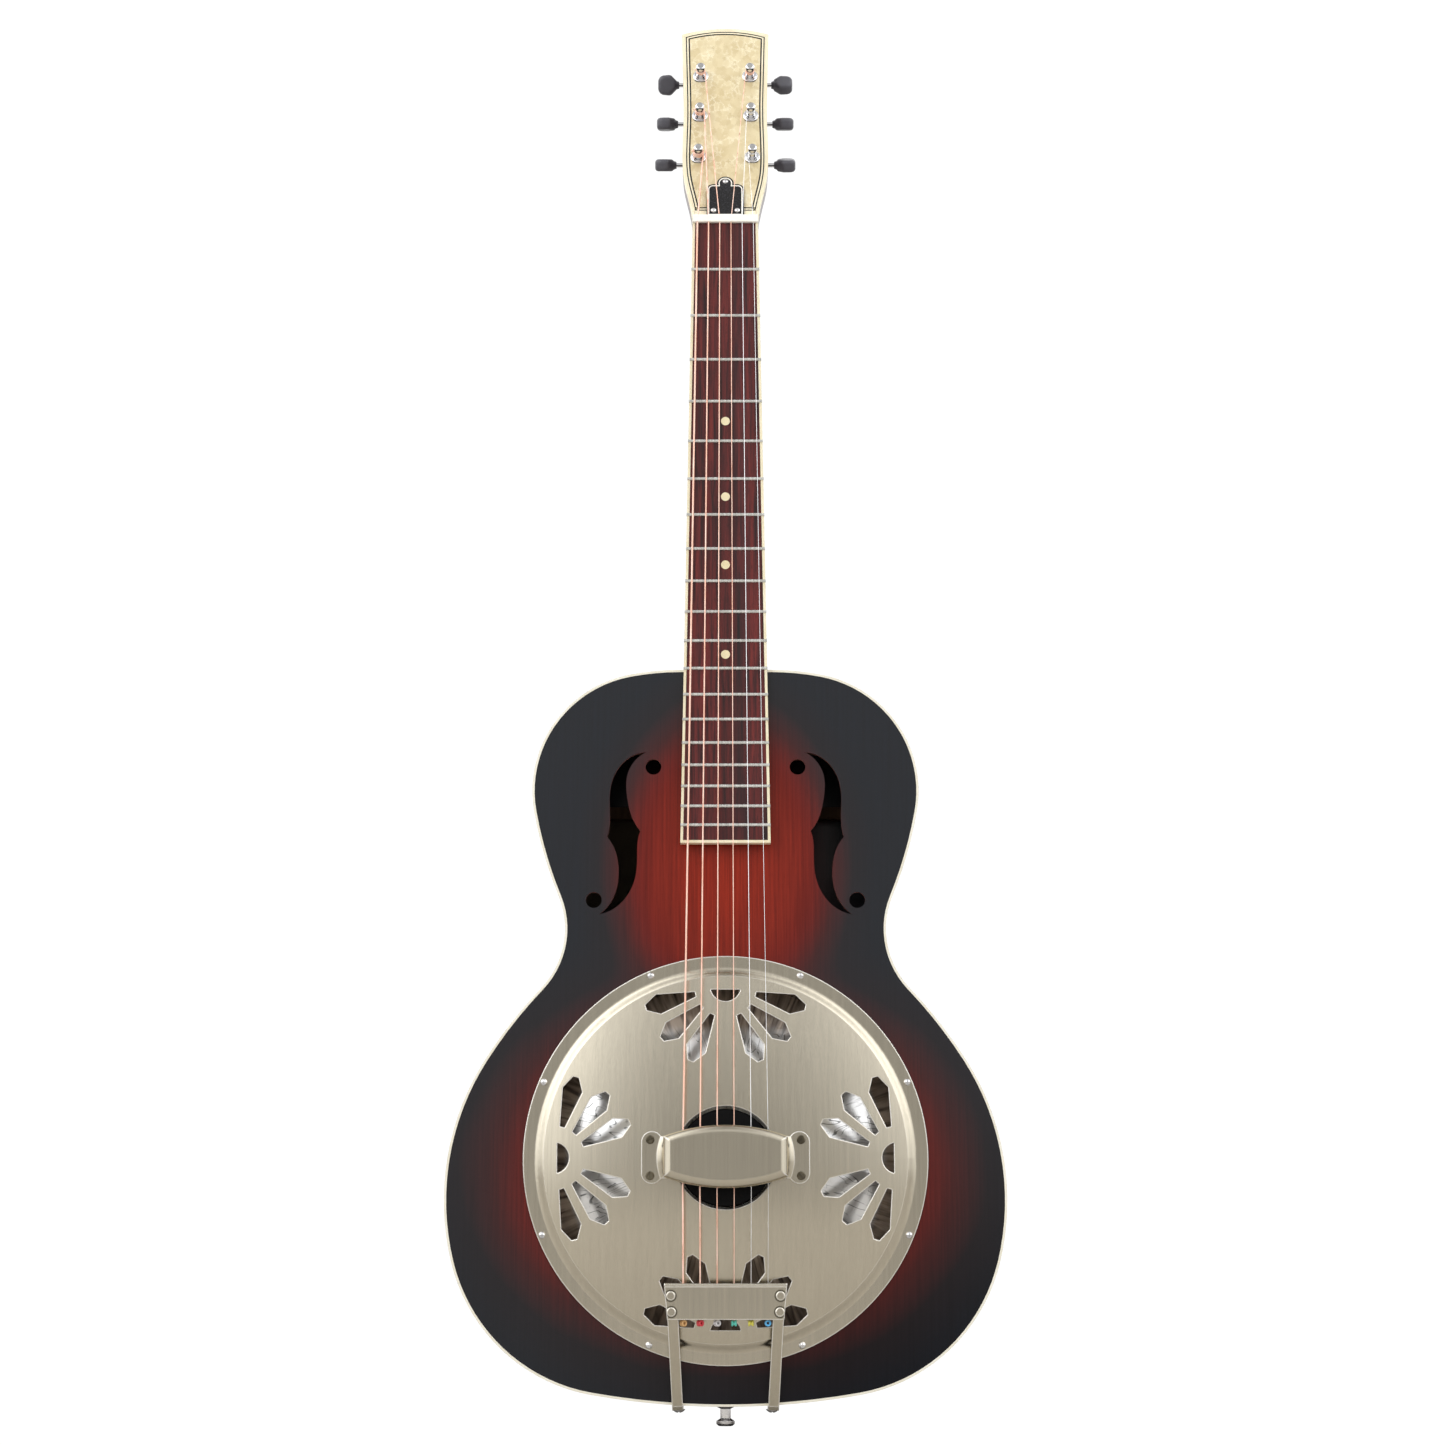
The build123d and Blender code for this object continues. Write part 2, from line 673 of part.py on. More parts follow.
def make_strap_button():
    """Turned button screwed into the tail block, for a strap."""
    shank = [(0, -24), (1.8, -24), (1.8, 0)]
    base = [(6.5, 0), (6.5, 1.5)]
    waist = [(STRAP_BUTTON_WAIST, 3.0), (STRAP_BUTTON_WAIST, 9.0)]
    head = [(6.0, 10.5), (6.0, 12.5), (4.5, 13.8), (0, 13.8)]
    profile = Polygon(*shank, *base, *waist, *head, align=None)
    button = revolve(Plane.XZ * profile, Axis.Z)
    place = Plane(origin=(0, -STRAP_BUTTON_HEIGHT, BODY_TAIL_Z), x_dir=(1, 0, 0), z_dir=(0, 0, -1))
    return place * button


# ---- Neck, in its own frame: Y 0 is the playing surface, Z runs up the neck ----


def board_width(z):
    share = (NUT_Z - z) / BOARD_LENGTH
    return BOARD_WIDTH_AT_NUT + (BOARD_WIDTH_AT_END - BOARD_WIDTH_AT_NUT) * share


def fret_z(number):
    return NUT_Z - SCALE_LENGTH * (1 - 2 ** (-number / 12))


def board_outline(inset):
    top = board_width(NUT_Z) / 2 - inset
    end = board_width(BOARD_END_Z) / 2 - inset
    low = BOARD_END_Z + inset
    return Polygon((-top, NUT_FACE_Z), (-end, low), (end, low), (top, NUT_FACE_Z), align=None)


def make_frets():
    frets = []
    half = FRET_WIDTH / 2
    arc = ThreePointArc((-half, 0), (0, FRET_HEIGHT), (half, 0))
    crown = make_face([arc, Line((half, 0), (-half, 0))])
    for number in range(1, FRET_COUNT + 1):
        width = board_width(fret_z(number))
        plane = Plane(origin=(0, 0, fret_z(number)), x_dir=(0, 0, 1), z_dir=(1, 0, 0))
        bead = extrude(plane * crown, width / 2 + 0.2, both=True)
        tang = Box(width - 2 * BOARD_BINDING - 1, 2.0, 0.6)
        frets.append(bead + Pos(0, 1.0, fret_z(number)) * tang)
    return frets


def dots():
    discs = []
    for number in (5, 7, 9, 12):
        z = (fret_z(number) + fret_z(number - 1)) / 2
        discs.append(rod((0, 0, z), (0, 1.6, z), 3.0))
    return discs


def neck_section(z, width, depth, belly):
    """D-shaped cross-section of the neck: flat under the fingerboard, rounded behind."""
    half = width / 2
    top = BOARD_THICKNESS
    flat = Line((-half, top), (half, top))
    back = Spline(
        (half, top),
        (half * belly, top + depth * 0.62),
        (0, top + depth),
        (-half * belly, top + depth * 0.62),
        (-half, top),
        tangents=((0, 1), (0, -1)),
    )
    return Pos(0, 0, z) * make_face([flat, back])


def head_outline(inset):
    """Headstock outline in (x, length from the nut): shoulders, a slim waist and an arched top."""
    low = 1.0 + inset
    shoulder = HEAD_SHOULDER_LENGTH - inset
    corner = 30.9 - inset
    right = Spline(
        (22.6 - inset, low),
        (25.2 - inset, 20),
        (29.0 - inset, 40),
        (29.9 - inset, 54),
        (29.4 - inset, 86),
        (30.0 - inset, 130),
        (corner, shoulder),
    )
    crest = ThreePointArc((corner, shoulder), (0, HEAD_CREST_LENGTH - inset), (-corner, shoulder))
    base = Line((inset - 22.6, low), (22.6 - inset, low))
    return make_face([right, right.mirror(Plane.YZ), crest, base])


def nut_room():
    """The space above the neck's wood that the nut and the fingerboard's end take."""
    half = 20.0
    back = NUT_FACE_Z + NUT_THICKNESS
    return NECK * Pos(0, BOARD_THICKNESS - half, back - half) * Box(4 * half, 2 * half, 2 * half)


def make_neck():
    ends = [neck_section(NUT_Z + 7, 45.0, 15.6, 0.80), neck_section(62, 53.0, 18.2, 0.80)]
    shaft = loft(ends, ruled=True)
    heel = loft([
        neck_section(62, 53.0, 18.2, 0.80),
        neck_section(44, 53.6, 20.0, 0.79),
        neck_section(30, 54.2, 27.0, 0.73),
        neck_section(18, 54.6, 44.0, 0.63),
        neck_section(7, 54.8, 63.0, 0.56),
        neck_section(-4, 55.0, 73.0, 0.54),
    ])
    wood = NECK * (shaft + heel)
    wood = wood - slab(Pos(0, BODY_TOP_Z - 200) * Rectangle(200, 400), 0, 200)
    head = HEAD * head_slab(head_outline(0), VENEER_THICKNESS, HEAD_THICKNESS)
    return wood + (head - nut_room())


def make_nut():
    half = BOARD_WIDTH_AT_NUT / 2
    profile = Rectangle(2 * half, BOARD_THICKNESS + NUT_HEIGHT)
    bone = extrude(Pos(0, (BOARD_THICKNESS - NUT_HEIGHT) / 2, NUT_FACE_Z) * profile, NUT_THICKNESS)
    return fillet(bone.edges().filter_by(Axis.X).sort_by(Axis.Y)[:2], 0.8)


def truss_rod():
    bar = rod((0, ROD_DEPTH, 6), (0, ROD_DEPTH, NUT_Z + 4), ROD_RADIUS)
    return bar + rod((0, ROD_DEPTH, NUT_Z + 4), (0, ROD_DEPTH, NUT_Z + 12), ROD_THREAD)


def truss_rod_nut():
    start = NUT_Z + 5
    body = rod((0, ROD_DEPTH, start), (0, ROD_DEPTH, start + ROD_NUT_LENGTH), ROD_NUT_RADIUS)
    bore = rod((0, ROD_DEPTH, start - 1), (0, ROD_DEPTH, NUT_Z + 12.5), ROD_THREAD + RUNNING_CLEARANCE)
    socket = Pos(0, ROD_DEPTH, start + 5) * extrude(RegularPolygon(2.3, 6), ROD_NUT_LENGTH)
    return body - bore - socket


def rod_pocket():
    """Pocket behind the nut where the truss rod's nut is reached."""
    low = NUT_Z + 4
    high = NUT_Z + 24
    floor = ROD_DEPTH + ROD_NUT_RADIUS + 0.4
    return Pos(0, floor / 2 - 5, (low + high) / 2) * Box(8.4, floor + 10, high - low)


def rod_cover():
    """Truss-rod cover: a bell with a round lobe."""
    body = band(ROD_COVER_LOW, ROD_COVER_SHOULDER, ROD_COVER_HALF)
    body = fillet(body.vertices().group_by(Axis.Y)[-1], 4.5)
    outline = body + Pos(0, ROD_COVER_SHOULDER + 0.8) * Circle(ROD_COVER_LOBE)
    return head_slab(outline, -ROD_COVER_THICKNESS, 0)


def rod_cover_screws():
    screws = []
    for x, length in ROD_COVER_SCREWS:
        screw = cross_head_screw(1.9, 0.9, 0.8, 8)
        place = Plane(origin=(x, -ROD_COVER_THICKNESS, length), x_dir=(1, 0, 0), z_dir=(0, -1, 0))
        screws.append(place * screw)
    return screws


# ---- Tuners: the post's axis is the origin, Y 0 the back of the headstock, +X points outwards ----


def cog_outline():
    """Cog with straight-flanked teeth; one of them is centred on the side of the worm."""
    root = COG_PITCH_RADIUS - TOOTH_ADDENDUM - 0.2
    tip = COG_PITCH_RADIUS + TOOTH_ADDENDUM
    corners = []
    for tooth in range(COG_TEETH):
        middle = -math.pi / 2 + 2 * math.pi * tooth / COG_TEETH
        for radius, half_width in ((root, -0.62), (tip, -0.2), (tip, 0.2), (root, 0.62)):
            angle = middle + half_width / radius
            corners.append((radius * math.cos(angle), radius * math.sin(angle)))
    return Polygon(*corners, align=None)


def cog():
    lead = math.degrees(math.atan2(COG_PITCH, 2 * math.pi * WORM_PITCH_RADIUS))
    twist = math.degrees(COG_WIDTH * math.tan(math.radians(lead)) / COG_PITCH_RADIUS)
    blank = Rot(0, 0, -twist / 2) * cog_outline()
    wheel = Solid.extrude_linear_with_rotation(blank.faces()[0], (0, 0, 0), (0, 0, COG_WIDTH), twist)
    place = Plane(origin=(0, WORM_AXIS_HEIGHT - COG_WIDTH / 2, 0), x_dir=(1, 0, 0), z_dir=(0, 1, 0))
    return place * Part(wheel.wrapped)


def tuner_post():
    """Post with its cog peened fast at the back end."""
    bottom = -HEAD_THICKNESS - POST_STANDS
    waist_low = -HEAD_THICKNESS - WAIST_END
    waist_high = -HEAD_THICKNESS - WAIST_START
    barrel = rod((0, waist_high, 0), (0, WORM_AXIS_HEIGHT + COG_WIDTH / 2 + 0.8, 0), POST_RADIUS)
    waist = rod((0, waist_low, 0), (0, waist_high, 0), POST_WAIST)
    cap = rod((0, bottom, 0), (0, waist_low, 0), POST_RADIUS)
    cap = fillet(cap.edges().filter_by(GeomType.CIRCLE).sort_by(Axis.Y)[0], 1.2)
    eye = rod((-5, waist_low + 1.6, 0), (5, waist_low + 1.6, 0), 0.8)
    return fused([barrel, waist, cap, cog()]) - eye


def worm():
    """Single-start worm on its shaft; the thread's gap faces the cog in the middle of its length."""
    root = WORM_CORE - 0.15
    tall = WORM_PITCH_RADIUS + TOOTH_ADDENDUM - root
    turns = 6
    path = Helix(pitch=COG_PITCH, height=turns * COG_PITCH, radius=root)
    tooth = Polygon((0, -0.66), (tall, -0.2), (tall, 0.2), (0, 0.66), align=None)
    section = Plane(origin=path @ 0, x_dir=(1, 0, 0), z_dir=(0, -1, 0)) * tooth
    thread = sweep(section, path=path, is_frenet=True)
    thread = Pos(0, 0, -turns * COG_PITCH / 2 + COG_PITCH / 2) * thread
    core = Cylinder(WORM_CORE, turns * COG_PITCH)
    ends = Cylinder(WORM_PITCH_RADIUS + 1, WORM_LENGTH)
    return (core + thread) & ends


def tuner_worm():
    """Worm shaft along +X, from the inner ear out to the button."""
    inner = WORM_LENGTH / 2 + EAR_GAP + EAR_THICKNESS
    along_x = Plane(origin=(0, WORM_AXIS_HEIGHT, WORM_OFFSET), x_dir=(0, 0, -1), z_dir=(1, 0, 0))
    shaft = Pos(0, 0, -inner - 0.2) * Cylinder(SHAFT_RADIUS, inner + 0.2 + SHAFT_END, align=START)
    collar = Pos(0, 0, inner + 0.3) * Cylinder(2.3, 1.8, align=START)
    neck = Pos(0, 0, inner + 2.1) * Cone(2.3, SHAFT_RADIUS, 2.0, align=START)
    return along_x * fused([worm(), shaft, collar, neck])


def tuner_button(turned_by):
    """Button pressed on the end of the worm shaft: a flat keystone grip with a short round neck."""
    half = BUTTON_WIDTH / 2
    corner = BUTTON_WIDE_START + 4.4
    upper = [(BUTTON_WIDE_START, 2.8), (corner, half), (BUTTON_END, half - 0.8)]
    lower = [(x, -y) for x, y in reversed(upper)]
    grip = Polygon(*upper, *lower, align=None)
    grip = fillet(grip.vertices().group_by(Axis.X)[-1], 4.6)
    grip = fillet(grip.vertices().filter_by(lambda vertex: abs(vertex.X - corner) < 0.1), 3.2)
    grip = extrude(grip, BUTTON_THICKNESS / 2, both=True)
    grip = fillet(grip.edges().filter_by(Plane.XY), 2.4)
    neck = Plane(origin=(BUTTON_START, 0, 0), z_dir=(1, 0, 0)) * Cone(2.4, 3.6, 3.4, align=START)
    bore = Plane(origin=(0, 0, 0), z_dir=(1, 0, 0)) * Cylinder(SHAFT_RADIUS, SHAFT_END, align=START)
    piece = Rot(turned_by, 0, 0) * (grip + neck - bore)
    return Pos(0, WORM_AXIS_HEIGHT, WORM_OFFSET) * piece


def ear(x_low):
    """Bearing ear that stands up from the tuner plate, with a bore for the worm shaft."""
    half = 2.9
    high = WORM_AXIS_HEIGHT + 3.0
    outline = Pos(0, high / 2) * Rectangle(2 * half, high)
    outline = fillet(outline.vertices().group_by(Axis.Y)[-1], half - 0.1)
    outline = outline - Pos(0, WORM_AXIS_HEIGHT) * Circle(SHAFT_RADIUS + RUNNING_CLEARANCE)
    plane = Plane(origin=(x_low, 0, WORM_OFFSET), x_dir=(0, 0, -1), z_dir=(1, 0, 0))
    return extrude(plane * outline, EAR_THICKNESS)


def tuner_place(row):
    """Place of a treble-side tuner in the headstock's frame."""
    length, half_spacing = POST_ROWS[row]
    return Pos(half_spacing, HEAD_THICKNESS, length)


def tuner_plate():
    """Treble-side plate with three pairs of ears, in the headstock's frame."""
    low, high = PLATE_LENGTHS
    strip = Pos(PLATE_MIDDLE_X, (low + high) / 2) * RectangleRounded(17.0, high - low, 3.0)
    plate = head_slab(strip, HEAD_THICKNESS, HEAD_THICKNESS + PLATE_THICKNESS)
    offset_x = WORM_LENGTH / 2 + EAR_GAP
    for row in range(3):
        place = tuner_place(row)
        for x_low in (offset_x, -offset_x - EAR_THICKNESS):
            plate = plate + place * ear(x_low)
        hole = place * rod((0, -1, 0), (0, 3, 0), POST_RADIUS + RUNNING_CLEARANCE)
        plate = plate - hole
    return plate


def tuner_plate_screws():
    screws = []
    for length in PLATE_SCREW_LENGTHS:
        screw = cross_head_screw(2.0, 1.2, 1.0, 8)
        origin = (PLATE_MIDDLE_X, HEAD_THICKNESS + PLATE_THICKNESS, length)
        place = Plane(origin=origin, x_dir=(1, 0, 0), z_dir=(0, 1, 0))
        screws += both_sides(place * screw)
    return screws


def ferrule():
    """Pressed-in bushing round a post at the headstock's face."""
    flange = rod((0, -1.2, 0), (0, 0, 0), 5.5)
    flange = fillet(flange.edges().filter_by(GeomType.CIRCLE).sort_by(Axis.Y)[0], 0.7)
    sleeve = rod((0, -0.5, 0), (0, 8, 0), 4.4)
    collar = rod((0, -2.2, 0), (0, -1.0, 0), 4.3)
    bore = rod((0, -5, 0), (0, 10, 0), POST_RADIUS + RUNNING_CLEARANCE)
    return fused([flange, sleeve, collar]) - bore


# ---- Strings ----


def point_in(place, x, y, z):
    """Global point of a point given in a placed frame."""
    return (place * Pos(x, y, z)).position


def string_tuner(number):
    """Row and side (-1 bass, 1 treble) of the tuner of a string."""
    row = number - 1 if number <= 3 else 6 - number
    side = 1 if number <= 3 else -1
    return row, side


def nut_point(number):
    x = (3.5 - number) * STRING_SPACING_NUT
    return point_in(NECK, x, -STRING_OVER_NUT, NUT_FACE_Z + 0.6)


def saddle_point(number):
    x = (3.5 - number) * STRING_SPACING_SADDLE
    return Vector(x, -SADDLE_TOP_HEIGHT, 0)


def coil_radius(number):
    """Radius of the middle of the windings round a post."""
    return POST_WAIST + RUNNING_CLEARANCE + STRING_DIAMETERS[number - 1] / 2


def string_path(number):
    """Middle line of a string: ball end, saddle, nut, and the inner side of its post."""
    row, side = string_tuner(number)
    length, half_spacing = POST_ROWS[row]
    touch = point_in(HEAD, side * (half_spacing - coil_radius(number)), WINDING_MIDDLE, length)
    start = Vector(tail_string_x(number), -TAIL_STRING_HEIGHT, TAIL_STRING_Z)
    return FilletPolyline(start, saddle_point(number), nut_point(number), touch, radius=3)


def string_room(number, slack):
    """The space that the free part of a string takes, with some slack round it."""
    path = string_path(number)
    section = Plane(origin=path @ 0, z_dir=path % 0) * Circle(STRING_DIAMETERS[number - 1] / 2 + slack)
    return sweep(section, path=path)


def make_string(number):
    """A string from its ball end to the windings, which are one sleeve round the post's waist."""
    radius = STRING_DIAMETERS[number - 1] / 2
    row, side = string_tuner(number)
    length, half_spacing = POST_ROWS[row]
    tall = (2 * WINDING_TURNS + 1) * radius
    low = WINDING_MIDDLE - tall / 2
    sleeve = rod((0, low, 0), (0, low + tall, 0), coil_radius(number) + radius)
    bore = rod((0, low - 5, 0), (0, low + tall + 5, 0), POST_WAIST + RUNNING_CLEARANCE)
    place = HEAD * Pos(side * half_spacing, 0, length)
    return string_room(number, 0) + place * sleeve - place * bore


def ball_ends(strings):
    balls = []
    for number, string in enumerate(strings, start=1):
        low = TAIL_STRING_HEIGHT - BALL_LENGTH / 2
        middle_z = TAILPIECE_BOTTOM_Z - BALL_RADIUS
        ball = forward_pin(tail_string_x(number), middle_z, low, low + BALL_LENGTH, BALL_RADIUS)
        balls.append(ball - string)
    return balls


# ---- Assembly ----


def keep(name, shape):
    """Writes a node's STEP file."""
    export_step(shape, "parts/" + name + ".step")


def build_body():
    neck_bolts = [
        rod((0, -height, 268), (0, -height, 329), 3.0) + rod((0, -height, 264), (0, -height, 268.5), 6.0)
        for height in (36, 62)
    ]
    neck_block = make_neck_block()
    tail_block = make_tail_block()
    screws = cover_screws()
    holders = tail_screws()
    button = make_strap_button()
    top = cut(make_top(), screws)
    keep("top", top)
    keep("back", slab(offset(OUTLINE, -BINDING_WIDTH), 0, BACK_THICKNESS))
    keep("sides", cut(make_sides(), neck_bolts + holders + [button]))
    keep("body_bindings", group([
        make_binding(BODY_DEPTH - BINDING_DEPTH, BODY_DEPTH),
        make_binding(0, BINDING_DEPTH),
    ]))
    keep("neck_block", cut(neck_block, neck_bolts))
    keep("tail_block", cut(tail_block, holders + [button]))
    keep("linings", make_linings([neck_block, tail_block]))
    keep("braces", cut_group(make_braces(), [neck_block]))
    keep("soundwell", cut(make_soundwell(), screws))
    keep("strap_button", button)
    keep("tailpiece_screws", group(holders))
    keep("neck_bolts", group(neck_bolts))
    keep("coverplate_screws", group(screws))
    return screws, holders, neck_bolts


def cut_group(pieces, tools):
    return group([cut(piece, tools) for piece in pieces.solids()])


def build_resonator(screws):
    rooms = [string_room(number, 0.03) for number in range(1, 7)]
    screw = make_biscuit_screw()
    saddle = make_saddle()
    keep("resonator_cone", make_cone() - screw)
    keep("biscuit", make_biscuit() - saddle - screw)
    keep("saddle", cut(saddle, rooms))
    keep("biscuit_screw", screw)
    rest_screws = hand_rest_screws()
    keep("coverplate", cut(make_coverplate(), screws + rest_screws))
    keep("hand_rest", cut(make_hand_rest(under_cover()), rest_screws))
    keep("hand_rest_screws", group(rest_screws))
    return rooms


def build_tailpiece(holders):
    body = slab(OUTLINE, 0, BODY_DEPTH)
    pins = rivets()
    keep("tailpiece_plate", cut(make_tailpiece_plate(), pins))
    keep("tailpiece_straps", group([cut(strap, pins + holders) for strap in straps(body)]))
    keep("tailpiece_rivets", group(pins))


def build_neck(rooms, neck_bolts):
    frets = make_frets()
    discs = dots()
    board = extrude_board(board_outline(BOARD_BINDING))
    rim = extrude_board(board_outline(0) - board_outline(BOARD_BINDING))
    bar = truss_rod()
    pocket = rod_pocket()
    posts = []
    ferrules = []
    for row in range(3):
        room = rod((0, -HEAD_THICKNESS - 3, 0), (0, 2, 0), POST_RADIUS + 0.4)
        posts += both_sides(tuner_place(row) * room)
        ferrules += both_sides(tuner_place(row) * Pos(0, -HEAD_THICKNESS, 0) * ferrule())
    plates = both_sides(tuner_plate())
    plate_screws = tuner_plate_screws()
    cover_fixings = rod_cover_screws()
    bone = make_nut()
    ring = head_slab(head_outline(0) - head_outline(HEAD_BINDING), 0, 5.0)
    veneer = head_slab(head_outline(HEAD_BINDING), 0, VENEER_THICKNESS)
    head_fixings = posts + ferrules + plate_screws + cover_fixings
    head_tools = [HEAD * tool for tool in head_fixings + [ring, veneer]]
    neck_tools = [NECK * tool for tool in [bar, pocket, bone]]
    ring = HEAD * ring - nut_room()
    veneer = HEAD * veneer - nut_room()
    keep("neck", cut(make_neck(), head_tools + neck_tools + neck_bolts))
    keep("truss_rod", NECK * bar)
    keep("truss_rod_nut", NECK * truss_rod_nut())
    keep("fingerboard", cut(NECK * board, [NECK * tool for tool in frets + discs]))
    keep("fingerboard_binding", cut(NECK * rim, [NECK * fret for fret in frets]))
    keep("frets", group([NECK * fret for fret in frets]))
    keep("position_dots", group([NECK * disc for disc in discs]))
    keep("nut", cut(NECK * bone, rooms))
    face_tools = [HEAD * tool for tool in posts + ferrules + cover_fixings] + neck_tools
    keep("headstock_veneer", cut(veneer, face_tools))
    keep("headstock_binding", cut(ring, neck_tools))
    keep("truss_rod_cover", HEAD * cut(rod_cover(), cover_fixings))
    keep("truss_rod_cover_screws", group([HEAD * screw for screw in cover_fixings]))
    keep("tuner_plates", group([HEAD * cut(plate, plate_screws) for plate in plates]))
    keep("tuner_plate_screws", group([HEAD * screw for screw in plate_screws]))
    keep("tuner_ferrules", group([HEAD * part for part in ferrules]))


def extrude_board(outline):
    return head_slab(outline, 0, BOARD_THICKNESS)


def build_wedge():
    """Wooden wedge between the soundboard and the fingerboard's extension."""
    half = board_width(0) / 2 - 4
    block = slab(band(BOARD_END_Z + JOINT_Z + 3, BODY_TOP_Z, half), BODY_DEPTH, BODY_DEPTH + 20)
    above = NECK * Pos(0, BOARD_THICKNESS - 20, 0) * Box(100, 40, 700)
    keep("fingerboard_wedge", block - above)


def build_tuners():
    post = tuner_post()
    shaft = tuner_worm()
    for number in range(1, 7):
        row, side = string_tuner(number)
        place = tuner_place(row)
        pieces = {
            "tuner_post_": place * post,
            "tuner_worm_": place * shaft,
            "tuner_button_": place * tuner_button(BUTTON_ANGLES[number]),
        }
        for name, piece in pieces.items():
            if side < 0:
                piece = mirror(piece, Plane.YZ)
            keep(name + str(number), HEAD * piece)


def build_strings():
    strings = [make_string(number) for number in range(1, 7)]
    keep("plain_strings", group(strings[:2]))
    keep("wound_strings", group(strings[2:]))
    keep("string_ball_ends", group(ball_ends(strings)))


def main():
    os.makedirs("parts", exist_ok=True)
    screws, holders, neck_bolts = build_body()
    rooms = build_resonator(screws)
    build_tailpiece(holders)
    build_neck(rooms, neck_bolts)
    build_wedge()
    build_tuners()
    build_strings()


main()
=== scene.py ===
import json
import math

import bpy
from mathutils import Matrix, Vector, noise


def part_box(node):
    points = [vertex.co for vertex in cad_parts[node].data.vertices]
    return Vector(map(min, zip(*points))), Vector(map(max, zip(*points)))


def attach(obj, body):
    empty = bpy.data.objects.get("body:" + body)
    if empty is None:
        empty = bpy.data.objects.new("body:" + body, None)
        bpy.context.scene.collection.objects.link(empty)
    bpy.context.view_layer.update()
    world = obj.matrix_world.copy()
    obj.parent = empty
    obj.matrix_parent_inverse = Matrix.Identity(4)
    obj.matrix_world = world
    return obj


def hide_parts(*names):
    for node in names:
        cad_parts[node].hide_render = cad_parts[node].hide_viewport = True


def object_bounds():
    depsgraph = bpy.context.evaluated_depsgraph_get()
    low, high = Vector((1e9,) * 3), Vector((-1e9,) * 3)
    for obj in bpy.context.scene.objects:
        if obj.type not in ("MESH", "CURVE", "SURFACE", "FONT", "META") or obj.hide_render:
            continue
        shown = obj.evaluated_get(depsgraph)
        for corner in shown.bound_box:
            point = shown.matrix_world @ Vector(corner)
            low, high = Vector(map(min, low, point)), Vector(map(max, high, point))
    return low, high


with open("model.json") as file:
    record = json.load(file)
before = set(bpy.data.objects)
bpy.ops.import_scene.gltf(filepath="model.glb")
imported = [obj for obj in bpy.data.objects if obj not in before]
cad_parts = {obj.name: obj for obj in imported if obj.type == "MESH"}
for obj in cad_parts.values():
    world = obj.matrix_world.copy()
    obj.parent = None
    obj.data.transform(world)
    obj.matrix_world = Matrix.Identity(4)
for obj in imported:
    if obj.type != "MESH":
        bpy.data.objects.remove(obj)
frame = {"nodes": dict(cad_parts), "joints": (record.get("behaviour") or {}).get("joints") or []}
cad_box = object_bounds()

# Resonator guitar. Metres, X across (bass side negative), -Y out of the soundboard, +Z up the neck.

MM = 0.001
GUITAR = "guitar"

# Places in the guitar's own frame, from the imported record's joints.
JOINTS = {joint["name"]: joint for joint in frame["joints"]}
HEAD_BACK = Vector(JOINTS["tuner_1_post_turn"]["axis"])
ACROSS = Vector((1, 0, 0))
HEAD_UP = ACROSS.cross(HEAD_BACK)
HEAD_FRONT = -HEAD_BACK
STRING_COUNT = 6


def srgb(red, green, blue):
    """Linear colour of 0 to 255 display values."""
    channels = []
    for value in (red, green, blue):
        share = value / 255
        channels.append(share / 12.92 if share <= 0.04045 else ((share + 0.055) / 1.055) ** 2.4)
    return (*channels, 1.0)


# ---- Node materials ----


